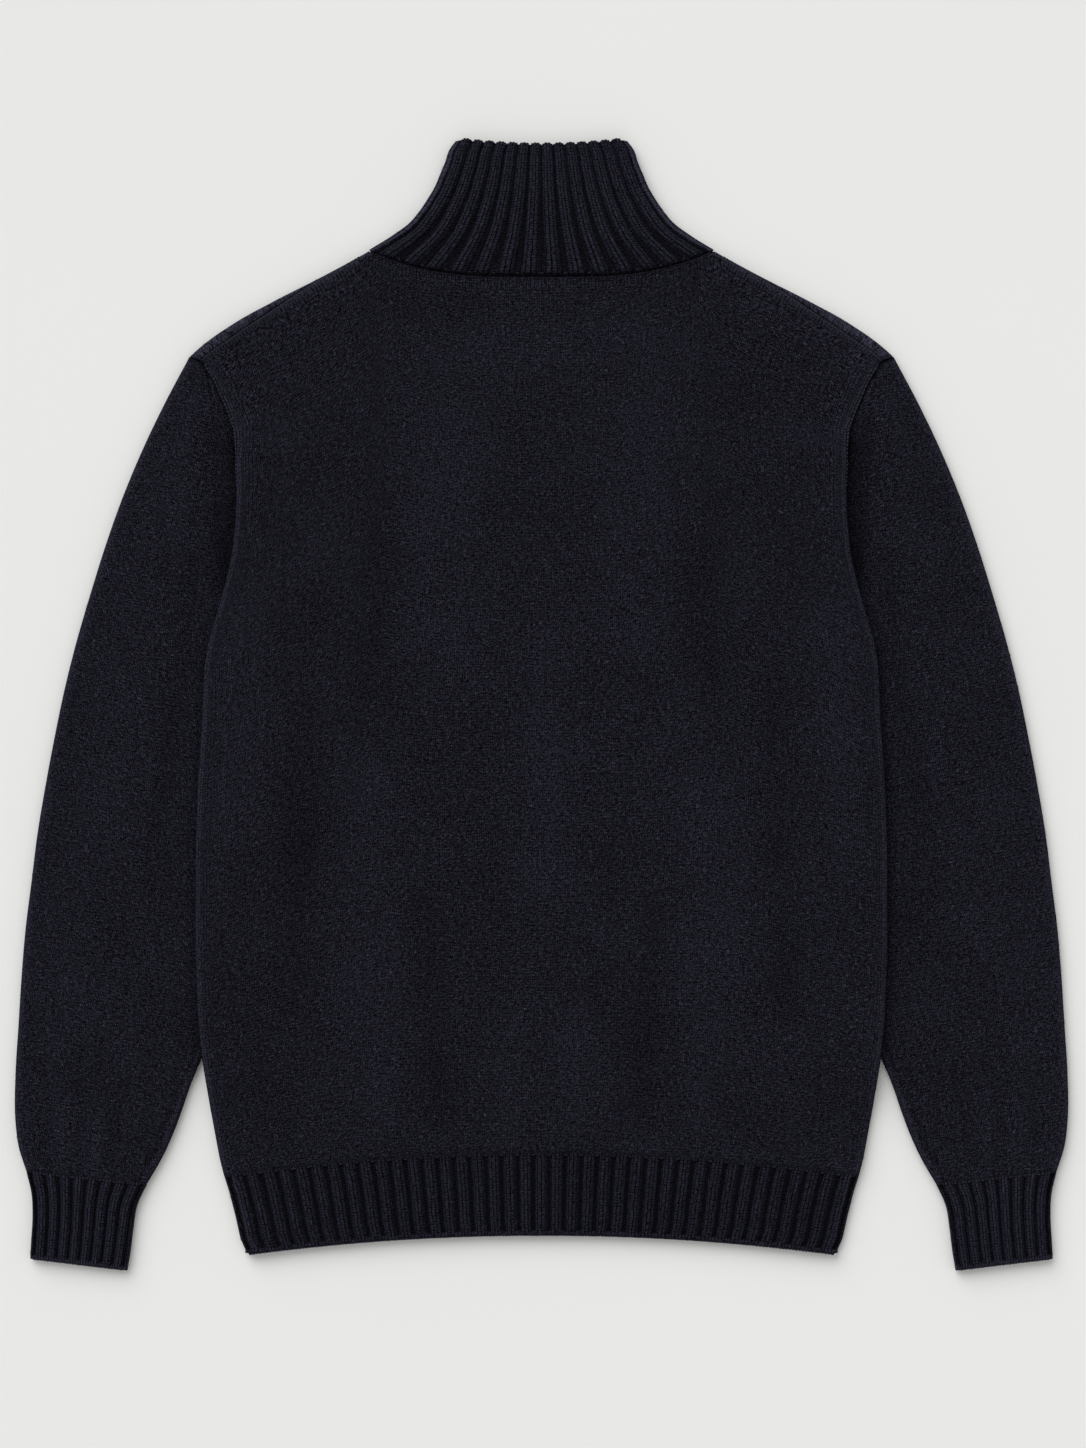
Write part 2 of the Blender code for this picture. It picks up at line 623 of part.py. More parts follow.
def make_zip(tape_mat, metal):
    def tape(x, y, z):
        return abs(x) > NOTCH or y < NOTCH_START

    ys = (SLIT_END - 3.0, NOTCH_START, TAPE_TOP)
    zs = (TAPE_LOW, TAPE_LOW + TAPE_THICK)
    for name, side in (("left", -1.0), ("right", 1.0)):
        xs = sorted(side * x for x in (0.15, NOTCH, TAPE_WIDE))
        block_solid("zip_tape_" + name, xs, ys, zs, tape, (0.0, 0.0, 0.0), tape_mat)

    def slider(x, y, z):
        plates = PLATE_LOW < z < PLATE_LOW + PLATE_THICK or z > BACK_PLATE_LOW
        if z > PLATE_LOW:
            return plates or (abs(x) < POST_HALF and y > POST_START)
        bridge = abs(x) < BRIDGE_HALF and BRIDGE_ENDS[0] < y < BRIDGE_ENDS[1]
        leg = y < BRIDGE_ENDS[0] + BRIDGE_LEG or y > BRIDGE_ENDS[1] - BRIDGE_LEG
        return bridge and (leg or z < BRIDGE_LOW + BRIDGE_FLOOR)

    xs = (-SLIDER_HALF, -POST_HALF, -BRIDGE_HALF, BRIDGE_HALF, POST_HALF, SLIDER_HALF)
    ys = sorted((SLIDER_ENDS[0], BRIDGE_ENDS[0], BRIDGE_ENDS[0] + BRIDGE_LEG, POST_START,
                 BRIDGE_ENDS[1] - BRIDGE_LEG, BRIDGE_ENDS[1], SLIDER_ENDS[1]))
    zs = (BRIDGE_LOW, BRIDGE_LOW + BRIDGE_FLOOR, PLATE_LOW, PLATE_LOW + PLATE_THICK,
          BACK_PLATE_LOW, BACK_PLATE_LOW + PLATE_THICK)
    block_solid("zip_slider", xs, ys, zs, slider, (0.0, 0.0, 0.0), metal)

    def pull(x, y, z):
        if y > PIVOT[1] - PULL_EYE:
            return abs(x) > PULL_ARM or y > PIVOT[1] - PULL_BAR / 2.0
        return y > PIVOT[1] - PULL_LONG or abs(x) < PULL_HALF

    xs = (-PULL_HALF, -PULL_ARM, PULL_ARM, PULL_HALF)
    ys = (PIVOT[1] - PULL_LONG, PIVOT[1] - PULL_EYE, PIVOT[1] - PULL_BAR / 2.0,
          PIVOT[1] + PULL_BAR / 2.0)
    zs = (PIVOT[2] - PULL_BAR / 2.0, PIVOT[2] + PULL_BAR / 2.0)
    block_solid("zip_pull", xs, ys, zs, pull, PIVOT, metal)


def main():
    for obj in list(bpy.data.objects):
        bpy.data.objects.remove(obj, do_unlink=True)
    cloth = material("navy_knit", NAVY, 0.95, 0.0)
    rib_cloth = material("navy_rib", RIB_NAVY, 0.95, 0.0)
    tape = material("zip_tape", TAPE_NAVY, 0.8, 0.0)
    metal = material("zip_metal", STEEL, 0.35, 1.0)
    make_body(cloth)
    make_hem(True, rib_cloth)
    make_hem(False, rib_cloth)
    make_sleeves(cloth, rib_cloth)
    make_collar(rib_cloth)
    make_zip(tape, metal)


main()
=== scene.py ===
import math
from functools import lru_cache, partial

import bmesh
import bpy
import numpy as np
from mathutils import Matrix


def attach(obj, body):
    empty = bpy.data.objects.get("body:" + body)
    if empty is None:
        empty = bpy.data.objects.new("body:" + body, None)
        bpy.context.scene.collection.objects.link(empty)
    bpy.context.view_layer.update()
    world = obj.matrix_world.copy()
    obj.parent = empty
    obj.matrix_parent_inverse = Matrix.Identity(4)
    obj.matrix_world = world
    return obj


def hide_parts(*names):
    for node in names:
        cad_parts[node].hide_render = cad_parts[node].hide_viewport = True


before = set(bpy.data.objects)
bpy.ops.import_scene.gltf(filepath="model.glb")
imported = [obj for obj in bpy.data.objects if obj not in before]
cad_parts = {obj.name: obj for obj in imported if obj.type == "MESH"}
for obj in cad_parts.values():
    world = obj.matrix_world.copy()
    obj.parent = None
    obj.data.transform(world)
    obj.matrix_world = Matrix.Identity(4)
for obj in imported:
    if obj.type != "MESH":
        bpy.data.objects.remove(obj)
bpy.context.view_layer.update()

# Sizes are in millimetres unless a name says otherwise; the collar points to +Y, the back is up.
MM = 0.001
WALL = 2.6  # thickness of the plain knit
SEAM_GAP = 0.4  # between two pieces that are sewn together
BODY_HIGH, SLEEVE_HIGH = 7.6, 7.2
LIFT = 7.9  # the body's sides are raised where a sleeve lies under them
LIFT_TOP, LIFT_END = (204.0, 174.0), (-292.0, -250.0)  # y where that begins and is full
RAMP, BACK_RAMP = 28.0, 85.0  # width of the slope up to it, on the front and on the back
RAMP_FLAT = 6.0
ROLL_STEPS = 6  # steps of the cloth's turn at the side
SIDE_TURN = math.acos(SEAM_GAP / BODY_HIGH)
SIDE_ROLL = BODY_HIGH / 2 * SIDE_TURN
SIDE_REACH = BODY_HIGH / 2 * math.sin(SIDE_TURN)
EDGE_TURNS = (190.0, 168.0)  # y where the body's side begins to turn in and is full
BACK_BORDER = 9.0
NECK_SHARE = 0.5  # share of the panel's width that ends at the neck
NECK_COLUMNS, SHOULDER_COLUMNS = 36, 40  # of half a panel
SHOULDER_WRAP = 4.0
SIDE_SPAN = 236.0  # half the body's width in the count of its stitches
MARK_Y, MARK_END = 150.0, 239.0  # the armhole's edge is marked from y to y
LOW_ROWS, HIGH_ROWS = (80, 118), (28, 36)  # below and above MARK_Y, of the front and the back
FOLD_ROWS = (9, 7)  # over the shoulder, of the front and the back
HEM_RIBS, HEM_DEEP, HEM_TOP, HEM_CORNER = 39, 56.7, -313.6, -329.6
HEM_CURVE, HEM_HALF = 13.9, 208.0
HEM_LOW, HEM_WALL, HEM_RISE = 4.2, 2.2, 2.1
HEM_HIGH = HEM_LOW + HEM_WALL
CUFF_RIBS, CUFF_RISE, CUFF_HIGH, CUFF_WALES = 8, 1.9, 6.3, 76
COLLAR_RIBS, COLLAR_WALL, COLLAR_RISE, COLLAR_FRONT = 14, 2.3, 2.0, 3.2
COLLAR_LOW = (5.0, 6.7)  # height of the back's inner face, at the seam and above it
COLLAR_FRONT_TOP, COLLAR_TOP_DIP = 352.0, 3.4
CORNER_SHARE = 0.965
SLIT, SLIT_END = 4.75, 100.0  # half width of the zip's opening, and y of its lower end
SLIT_STITCHES = (102.0, 256.0)  # y of the first and the last stitch beside it
VALLEY_DEEP = 1.1  # floor of a rib's valley, below the cloth's plain level
UNDER_RIB = 1.5  # how far the valleys on the underside rise from the floor
RIM_WALL, RIM_RISE = 0.7, 0.9  # a finished edge: its cloth, and how far it rises from the floor
WALE, COURSE = 2.4, 2.0  # width and height of one stitch
RIB_WALES = 4.5  # stitches from one rib to the next
SLEEVE_COS, SLEEVE_SIN = 0.986, 0.168  # lean of the sleeve's rows of stitches
# shares of a sleeve's length, from, to and rows: close together at its seams
SLEEVE_ROWS = ((0, 0.05, 9), (0.05, 0.96, 120), (0.96, 1, 9))
SLEEVE_TOP, SLEEVE_BOTTOM = 56, 17  # columns
TUBE_POINTS = 25  # across a sleeve or cuff, to measure it
# places across one rib, from valley to valley: close together where its sides are steep
RIB_STEPS = (0.0, 0.06, 0.11, 0.16, 0.22, 0.3, 0.4, 0.5, 0.6, 0.7, 0.78, 0.84, 0.89, 0.94)
# distances of a ribbed band's last rows from its finished edge
EDGE_ROWS = (5.0, 4.3, 3.7, 3.1, 2.5, 2.0, 1.5, 1.1, 0.7, 0.4, 0.15, 0.0)
HALF_TURN = np.radians(np.arange(15, 170, 15))
ENDS = np.array((0.0, 1.0))
FLIP = np.array((-1.0, 1.0, 1.0))
HAIRS, HAIR_SEED = 5000, 11
ONCE = 999.0  # a step longer than any line
# near-black that the painted shade in valleys, seams and creases blends the knit towards
PAINTED_SHADE_COLOUR = (0.0006, 0.0006, 0.0010, 1.0)
TEETH, TOOTH_PITCH, TOOTH_REACH, TOOTH_Z = 92, 2.5, 2.6, 3.9

# the right half of each outline: x, y; SIDE and its reader side_x are y, x
SIDE = (
    (-384, 207.6), (-375.9, 211), (-359.1, 214.6), (-342.3, 218.8), (-329.6, 222.6),
    (-317.1, 225.8), (-283.5, 232), (-248.5, 237), (-220.5, 240.1), (-171.5, 241.9),
    (-101.5, 241.9), (-59.5, 240.5), (-10.5, 237.3), (25.9, 235.9), (43.4, 233.1), (62.3, 227.5),
    (86.8, 220.5), (105.7, 216.3), (130.2, 213.9), (154.7, 213.2), (175.7, 213.9), (192.9, 215.7),
    (208.6, 221.8), (226.8, 229.6), (240.8, 238.4),
)
BACK_NECK = (
    (0, 299.6), (20, 299.8), (51.5, 300.7), (73.5, 303.4), (93.5, 308), (109.2, 313.3),
    (120.8, 318.4),
)
FRONT_NECK = (
    (SLIT, 262), (30, 264), (60, 272), (85, 285), (104, 300), (114, 310), (120.8, 318.4),
)
SHOULDER = (
    (121.2, 317.8), (129.9, 312.9), (145.3, 304.5), (161.4, 296.1), (178.2, 287.7),
    (194.3, 279.3), (209.7, 270.9), (223, 262.5), (235.6, 254.1), (246.4, 243.9),
)
ARMHOLE = (
    (247, 243.3), (238.8, 240.4), (230, 226.5), (222.2, 208.3), (216.1, 192.7), (214.3, 175.7),
    (212.3, 154), (207.5, 130), (201.5, 108), (196, 90),
)
SLEEVE_OUTER = (
    (247, 243.3), (263.6, 212.1), (279.7, 178.5), (293.7, 144.9), (305.6, 111.3), (316.1, 77.7),
    (325.9, 44.1), (334.3, 10.5), (341.3, -23.1), (347.6, -56.7), (353.2, -90.3), (357.4, -123.9),
    (361.6, -157.5), (364.4, -191.1), (366.5, -224.7), (368.6, -258.3), (368.6, -291.9),
    (366.5, -308.7), (361.2, -325.8),
)
SLEEVE_INNER = (
    (196, 90), (188, 40), (184, 0), (186, -40), (191, -80), (198, -120), (208, -165), (221, -205),
    (232, -235), (239, -249.9), (246, -266.7), (251.7, -283.5), (258, -300.3), (265.7, -317.1),
    (276, -334.9),
)
CUFF_OUTER = (
    (361.1, -326.2), (357.4, -342.3), (356.7, -359.1), (357.6, -375), (358.3, -386.8),
)
CUFF_INNER = (
    (276.2, -335.3), (283.2, -350.7), (286, -367.5), (288.1, -384.3), (290, -395),
)
COLLAR_SIDE = (
    (120.8, 318.9), (103.3, 329.7), (92.1, 338.1), (85.1, 346.5), (79.5, 354.9), (74.6, 363.3),
    (71.1, 371.7), (67.6, 380.1), (64.8, 388.5), (60.5, 394.5),
)
FASHION_MARKS = ((198, 115), (199.5, 104), (201.5, 93), (204, 82))  # beside the underarm
# soft folds of the back: from x, y to x, y, half width, rise (negative is a trough)
BACK_FOLDS = (
    (-160, 170, -169, 10, 15, -2.1), (-169, 10, -180, -80, 14, -2.1),
    (-180, -80, -194, -206, 13, -1.9), (-194, -206, -200, -284, 12, -1.9),
    (163, 3, 167, -101, 14, -1.3), (167, -101, 174, -206, 12, -1.3),
    (-64, 143, -65, 108, 10, -1.3), (79, -136, 69, -290, 11, -1.5),
    (-43, -220, -42, -283, 10, -1.5), (-93, -185, -89, -283, 12, -1.4),
    (-145, -213, -148, -283, 11, -1.3), (111, 101, 118, 10, 15, -1.3),
    (-20, 40, -10, -110, 26, 1.2), (60, 190, 75, 60, 26, 0.9), (-110, 90, -120, -60, 24, 1),
    (120, -60, 118, -230, 20, 1), (-200, 60, -214, -90, 14, 1), (205, 60, 214, -90, 14, 0.9),
    (-90, 255, 70, 248, 20, 0.7), (-68, -250, -66, -296, 8, 0.7), (20, -230, 24, -296, 10, 0.7),
    (110, -240, 112, -296, 9, 0.6),
)
# soft folds of a sleeve, on the right: the same columns
SLEEVE_FOLDS = (
    (300, -318, 292, -262, 6, -1.2), (322, -318, 320, -236, 7, -1.2),
    (344, -316, 347, -250, 6, -1.1), (311, -320, 306, -280, 5, 0.9),
    (333, -318, 334, -272, 5, 0.9), (355, -314, 358, -282, 5, 0.8),
    (229, 196, 222, 92, 7.5, -1.7), (243, 212, 250, 105, 7, 1.7), (262, 150, 290, -40, 22, 1.6),
    (300, -40, 322, -200, 22, 1.6), (243, 100, 262, -60, 8, -1.2), (270, -30, 262, -150, 14, -1),
    (276, -150, 284, -240, 12, 1),
)


def smooth(value, start=0, end=1):
    """Ease from 0 at the start to 1 at the end."""
    share = np.clip((value - start) / (end - start), 0, 1)
    return share * share * (3 - 2 * share)


def hump(value, middle, wide):
    """1 at the middle, almost 0 from twice the width off."""
    return np.exp(-((value - middle) / wide) ** 2)


def mix(one, two, share):
    return one + (two - one) * share


def unit(vector):
    return vector / np.maximum(np.linalg.norm(vector, axis=-1, keepdims=True), 1e-9)


def points(*columns):
    """Rows of points from their columns; a single number fills its column."""
    return np.stack(np.broadcast_arrays(*columns), 1)


def mirrored(half, middle, flip):
    """A full row of points from its middle and its right end."""
    return np.concatenate((half[::-1] * flip, middle, half))


@lru_cache(maxsize=None)
def path(table):
    """A smooth line through x, y rows, read by its share of the length."""
    spots = np.array(table, float)
    gaps = np.linalg.norm(np.diff(spots, axis=0), axis=1)
    marks = np.concatenate(([0], np.cumsum(gaps)))
    slopes = np.gradient(spots, marks, axis=0)

    def read(share):
        where = np.clip(share, 0, 1) * marks[-1]
        at = np.minimum(np.searchsorted(marks, where, side="right") - 1, len(gaps) - 1)
        t = ((where - marks[at]) / gaps[at])[..., None]
        rest = 1 - t
        start = spots[at] * (1 + 2 * t) * rest * rest
        end = spots[at + 1] * (3 - 2 * t) * t * t
        lean = slopes[at] * t * rest * rest - slopes[at + 1] * t * t * rest
        return start + end + lean * gaps[at][..., None]

    return read


@lru_cache(maxsize=None)
def length(table):
    return float(np.sum(np.linalg.norm(np.diff(np.array(table), axis=0), axis=1)))


def side_x(y):
    return np.interp(y, *np.array(SIDE).T)


def hidden_edge_x(y):
    """The sleeve's inner edge, down from the armhole, much of it under the body."""
    edge_x, edge_y = np.array(ARMHOLE[5:] + SLEEVE_INNER[1:])[::-1].T
    return np.interp(y, edge_y, edge_x)


def body_lift(x, y, ramp=RAMP):
    """How far the cloth is raised by the sleeve under it."""
    across = (np.abs(x) - hidden_edge_x(y) + ramp) / (ramp - RAMP_FLAT)
    return LIFT * smooth(across) * smooth(y, *LIFT_TOP) * smooth(y, *LIFT_END)


def hem_line(x, centre):
    return centre - HEM_CURVE * (x / HEM_HALF) ** 2


def folds(table, x, y):
    """Height added by the soft folds at each point."""
    rise = np.zeros(np.shape(x))
    for x0, y0, x1, y1, wide, high in table:
        along = np.array((x1 - x0, y1 - y0))
        t = np.clip(((x - x0) * along[0] + (y - y0) * along[1]) / (along @ along), 0, 1)
        far = np.hypot(x - x0 - t * along[0], y - y0 - t * along[1])
        rise += high * hump(far, 0, wide)
    return rise


def field(low, high, one, two, shares, share_v, ends=None):
    """A row of points in the four-sided field between two crossing pairs of lines.

    low and high are points on one pair, at the row's shares; ends are their end points, where
    the row doesn't run from end to end. one and two are the row's own ends on the other pair.
    """
    u = shares[:, None]
    low_ends, high_ends = ends or (low[[0, -1]], high[[0, -1]])
    corners = mix(low_ends, high_ends, share_v)
    return mix(low, high, share_v) + mix(one, two, u) - mix(*corners, u)


grids = {}  # each knitted piece's outer and inner points


def put(name, data):
    """An object at the origin, in the scene."""
    made = bpy.data.objects.new(name, data)
    bpy.context.scene.collection.objects.link(made)
    return made


def cloth_object(name, outer, inner, uv, mat, marks, closed=False, skip=None, turn=0):
    """A shell of cloth between two grids of points, with the stitch count as its UV map.

    marks holds for each point how much painted shade it has, as deep in a valley or seam (below 0,
    a painted highlight), and how clear its wales are.
    turn is the number of stitches once round a tube whose count starts again at its last column.
    """
    grids[name] = outer, inner
    rows, columns = outer.shape[:2]
    spans = columns if closed else columns - 1
    kept = np.ones((rows - 1, spans), bool)
    if skip is not None:
        kept &= ~skip
    verts = np.concatenate((outer.reshape(-1, 3), inner.reshape(-1, 3))) * MM
    count = rows * columns
    r, c = np.nonzero(kept)
    nxt = (c + 1) % columns
    at = (r * columns + c, r * columns + nxt, (r + 1) * columns + nxt, (r + 1) * columns + c)
    faces = [np.stack(at, 1), np.stack([a + count for a in at[::-1]], 1)]
    padded = np.zeros((rows + 1, spans + 2), bool)
    padded[1:-1, 1:-1] = kept
    if closed:
        padded[1:-1, 0], padded[1:-1, -1] = kept[:, -1], kept[:, 0]
    beyond = padded[r, c + 1], padded[r + 1, c + 2], padded[r + 2, c + 1], padded[r + 1, c]
    for number, neighbour in enumerate(beyond):
        a, b = at[number][~neighbour], at[(number + 1) % 4][~neighbour]
        faces.append(np.stack((b, a, a + count, b + count), 1))
    quads = np.concatenate(faces)
    used = np.unique(quads)
    renumber = np.zeros(len(verts), int)
    renumber[used] = np.arange(len(used))
    corner = verts[quads]
    normal = np.cross(corner[:, 1] - corner[:, 0], corner[:, 2] - corner[:, 0])
    normal += np.cross(corner[:, 2] - corner[:, 0], corner[:, 3] - corner[:, 0])
    if np.einsum("ij,ij->", corner.mean(1), normal) < 0:
        quads = quads[:, ::-1]
    mesh = bpy.data.meshes.new(name)
    mesh.from_pydata(verts[used].tolist(), [], renumber[quads].tolist())
    stitches = np.concatenate((uv.reshape(-1, 2),) * 2)[quads]
    if turn:
        counts = stitches[:, :, 0]
        wide = counts.max(1) - counts.min(1) > 0.5 * turn
        counts += np.where(wide[:, None] & (counts < 0.5 * turn), turn, 0)
    mesh.uv_layers.new(name="stitches").data.foreach_set("uv", stitches.reshape(-1))
    for label, grid in zip(("hollow", "clear"), marks):
        values = np.tile(np.ravel(grid), 2)[used]
        mesh.attributes.new(label, "FLOAT", "POINT").data.foreach_set("value", values)
    mesh.shade_smooth()
    mesh.materials.append(mat)
    return put(name, mesh)


# ---- the shapes of the pieces ----

def side_roll(turn, high=BODY_HIGH, cloth=WALL):
    """The cloth's turn at the side, step by step: run and rise of its outside and its inside."""
    done = np.arange(1, ROLL_STEPS + 1) / ROLL_STEPS
    angle = turn * done
    long = high / 2 * SIDE_TURN
    curve = long / turn if turn > 0.02 else 0
    run = curve * np.sin(angle) if curve else long * done
    rise = curve * (1 - np.cos(angle))
    limit = max((high - SEAM_GAP) / 2, cloth)
    return run, rise, run - cloth * np.sin(angle), np.minimum(rise + cloth * np.cos(angle), limit)


def shoulder_point(share, deep):
    """Points at a distance inside the shoulder's outline."""
    deep = np.zeros(share.shape) + deep
    way = mix(np.array((0, -1)), np.array((-0.5, -0.866)), smooth(share, 0, 0.2)[:, None])
    plain = path(SHOULDER)(share) + way * deep[:, None]
    tip = path(ARMHOLE)(deep / length(ARMHOLE)) + np.array(SHOULDER[-1]) - np.array(ARMHOLE[0])
    return mix(plain, tip, smooth(share, 0.8, 1)[:, None])


def body_panel(upward):
    """Outer, inner, stitch and mark grids of the right half of the back or the front panel."""
    radius = BODY_HIGH / 2
    neck = path(BACK_NECK if upward else FRONT_NECK)
    first_x = 0 if upward else SLIT
    border = BACK_BORDER if upward else radius
    inside = radius + border if upward else radius
    roll_share = 1 - SIDE_ROLL / length(SHOULDER)
    steps = np.arange(1, ROLL_STEPS + 1) / ROLL_STEPS
    columns = np.concatenate((np.linspace(0, NECK_SHARE, NECK_COLUMNS, endpoint=False),
                              np.linspace(NECK_SHARE, 1, SHOULDER_COLUMNS + 1)))
    is_neck = columns < NECK_SHARE - 0.001
    along = (columns - NECK_SHARE) / (1 - NECK_SHARE) * roll_share
    top = np.where(is_neck[:, None], neck(columns / NECK_SHARE) - np.array((0, border)),
                   shoulder_point(along, inside))
    x = mix(first_x, side_x(HEM_CORNER) - SIDE_REACH, columns)
    bottom = points(x, hem_line(x, HEM_TOP))
    end_x, end_y = top[-1]

    def surfaces(x, y):
        if upward:
            high = body_lift(x, y, BACK_RAMP) + BODY_HIGH + folds(BACK_FOLDS, x, y)
            return high, high - WALL
        base = body_lift(x, y)
        return base, base + WALL

    side_rows = np.concatenate((np.linspace(HEM_CORNER, MARK_Y, LOW_ROWS[upward]),
                                np.linspace(MARK_Y, end_y, HIGH_ROWS[upward])[1:]))
    outer, inner, uv, hollow, clear = [], [], [], [], []
    stitch_x = np.concatenate((columns, 1 + 0.026 * steps)) * SIDE_SPAN + first_x
    for y_side in side_rows:
        share_v = (y_side - HEM_CORNER) / (end_y - HEM_CORNER)
        y_centre = mix(HEM_TOP, top[0, 1], share_v)
        rolled = float(smooth(y_side, *EDGE_TURNS))
        run, rise, run_in, rise_in = side_roll(SIDE_TURN * rolled)
        x_edge, y_edge = side_x(y_side) - SEAM_GAP / 2 - run[-1], y_side
        if y_side == HEM_CORNER:
            x_edge, y_edge = bottom[-1]
        if y_side == end_y:
            x_edge = end_x
        row = field(bottom, top, np.array((first_x, y_centre)), np.array((x_edge, y_edge)),
                    columns, share_v)
        z_outer, z_inner = surfaces(*row.T)

        # the armhole's edge dips with a ridge beside it: painted shade in the dip, a painted
        # highlight on the ridge, and painted shade on the side's turn
        beside = np.append(side_x(y_edge) - row[:, 0], np.linspace(3, 0, ROLL_STEPS))
        armhole = upward * smooth(y_edge, MARK_Y, 190)
        mark = (0.8 * armhole * hump(beside, 0, 0.9) - 0.3 * hump(beside, 2.6, 1.5)
                + 0.95 * rolled * smooth(beside, 1.7, 0.2) * (beside < 3))
        if upward:
            # painted shade in the folds' troughs and painted light on their crests
            mark[:-ROLL_STEPS] -= np.clip(0.17 * folds(BACK_FOLDS, *row.T), -0.36, 0.10)
        hollow.append(mark)
        band = 0.6 * upward * smooth(y_edge, 85, 135) * smooth(beside, 17, 9)
        clear.append(np.maximum(band, 0.45 * smooth(beside, 12, 7)))
        flat = beside[:-ROLL_STEPS]
        ridge = armhole * (0.5 * hump(flat, 2.6, 1.6) - hump(flat, 0, 1))
        z_outer, z_inner = z_outer + ridge, z_inner + ridge

        base = z_outer[-1] - BODY_HIGH if upward else z_outer[-1]
        x_out, x_in, y_out = x_edge + run, x_edge + run_in, y_edge
        if y_side == end_y:
            x_out, y_out = shoulder_point(mix(roll_share, 1, steps), inside).T
            x_in = x_out
        if upward:
            rise, rise_in = BODY_HIGH - rise, BODY_HIGH - rise_in
        outer.append(np.vstack((points(*row.T, z_outer), points(x_out, y_out, base + rise))))
        inner.append(np.vstack((points(*row.T, z_inner), points(x_in, y_out, base + rise_in))))
        uv.append(points(stitch_x / WALE, y_centre / COURSE))

    # the border at the neck, and the cloth's turn over the shoulder to its seam
    shares = np.concatenate((along, mix(roll_share, 1, steps)))
    neck_pad = np.concatenate((is_neck, np.zeros(ROLL_STEPS, bool)))
    seam = mix(radius * math.pi / 2, radius * math.pi + SHOULDER_WRAP, smooth(shares * 1.2))
    last_v = uv[-1][0, 1]
    for done in np.arange(1, FOLD_ROWS[upward] + 1) / FOLD_ROWS[upward]:
        if upward:
            arc = mix(math.pi * radius + border, seam + SEAM_GAP / 2, done)
        else:
            arc = mix(0, seam - SEAM_GAP / 2, done)
        angle = np.clip(arc / radius, 0, math.pi)
        beyond = np.maximum(0, arc - math.pi * radius)
        side = border * (1 - done)
        flat = top[is_neck] + np.array((0, done * (border - SEAM_GAP / 2)))
        heights = surfaces(*flat.T)
        for rows, size, height in zip((outer, inner), (radius, radius - WALL), heights):
            deep = radius - size * np.sin(angle) + beyond
            spot = points(*shoulder_point(np.maximum(shares, 0), deep).T,
                          radius - size * np.cos(angle))
            spot[neck_pad] = points(*flat.T, height)
            if upward:
                ridge = 0.7 * hump(side, 1.6, 1.3) - 0.7 * hump(side, 0, 0.6)
                spot[:, 2] += ridge + folds(BACK_FOLDS, *spot[:, :2].T) * ~neck_pad
            rows.append(spot)
        # painted shade along the neck's border; at the shoulder seam painted shade with a painted
        # highlight beside it; on the front a painted highlight over the fold
        neck_painted_shade = 0.75 * hump(side, 0, 1.7)
        seam_painted_shading = 0.3 * hump(side, 0, 0.5) - 0.8 * hump(side, 1.8, 1.3)
        hollow.append(np.where(neck_pad, neck_painted_shade, seam_painted_shading if upward else -0.5))
        clear.append(np.full(len(shares), 0.4 * upward))
        uv.append(points(stitch_x / WALE, last_v + done * border / COURSE))
    return [np.array(grid) for grid in (outer, inner, uv)] + [np.dstack((hollow, clear))]


def make_panel(upward, name, mat):
    """The back or the front, from its right half; the front is open for the zip."""
    *shapes, marks = body_panel(upward)
    middle = shapes[0].shape[1] - 1

    def both_halves(grid, flip):
        left = grid[:, ::-1] * flip
        return np.concatenate((left[:, :-1] if upward else left, grid), axis=1)

    full = [both_halves(grid, FLIP[:grid.shape[2]]) for grid in shapes]
    skip = np.zeros((full[0].shape[0] - 1, full[0].shape[1] - 1), bool)
    if not upward:
        skip[:, middle] = full[0][:-1, middle, 1] > SLIT_END - 4
    marks = np.moveaxis(both_halves(marks, 1), 2, 0)
    return cloth_object(name, *full, mat, marks, skip=skip)


def rib_columns(count):
    """Shares from -1 to 1 across a ribbed band."""
    spots = (np.arange(count)[:, None] + np.array(RIB_STEPS)).ravel()
    return np.append(spots, count) / count * 2 - 1


def rib_rows(long, middle):
    """Distances down a ribbed band, from its seam to its finished edge."""
    return np.concatenate((np.linspace(0, 5, 11),
                           np.linspace(5, long - EDGE_ROWS[0], middle)[1:-1],
                           long - np.array(EDGE_ROWS)))


def rib_shape(share, count, far, near, valley):
    """Height share and painted valley shade at points across the ribs.

    far is the distance from the seam, near that from the finished edge, and valley the share
    of a rib's width that is level with its valley's floor.
    """
    spot = np.mod((share + 1) * count / 2, 1)
    side = np.clip((np.minimum(spot, 1 - spot) - valley / 2) / (0.5 - valley / 2), 0, 1)
    depth = (1 - side) ** 3 * smooth(far, 0.3, 1.8) * smooth(near, 1.8, 3.1)
    # painted shade, stronger near the seam and near the finished edge, where the valleys end
    painted_end_shade = hump(far, 2, 1.3) + 0.7 * hump(near, 3.6, 1.2)
    return 1 - 0.96 * depth, np.clip(depth ** 1.25 * (0.82 + 0.4 * painted_end_shade), 0, 1)


def scallop(ribs, rise, near, deep):
    """How far the ribs and the stitches of a finished edge stand out."""
    stitches = 0.45 * np.abs(np.sin(ribs * RIB_WALES / 2 * math.pi)) * smooth(near, 1.6, 0)
    return deep * rise * smooth(near, 3, 0) + stitches


def turned_edge(near, radius=1.6):
    """1 on the flat of a band, down to 0 round its finished edge."""
    return math.sqrt(max(0, 1 - max(0, 1 - near / radius) ** 2))


def rimmed(low, high, turned):
    """Heights of a band's upper side, brought down to a thin rim round its finished edge."""
    return mix(low + RIM_WALL, high, 0.3 + 0.7 * turned)


def rib_top(low, high, before, rib_rise, rise, far, near):
    """Height of a band's upper side, whose ribs start as high as the cloth before the seam."""
    crest = mix(before - 0.1, high + rib_rise, smooth(far, 0.3, 7.3))
    return rimmed(low, mix(high - VALLEY_DEEP, crest, rise), turned_edge(near))


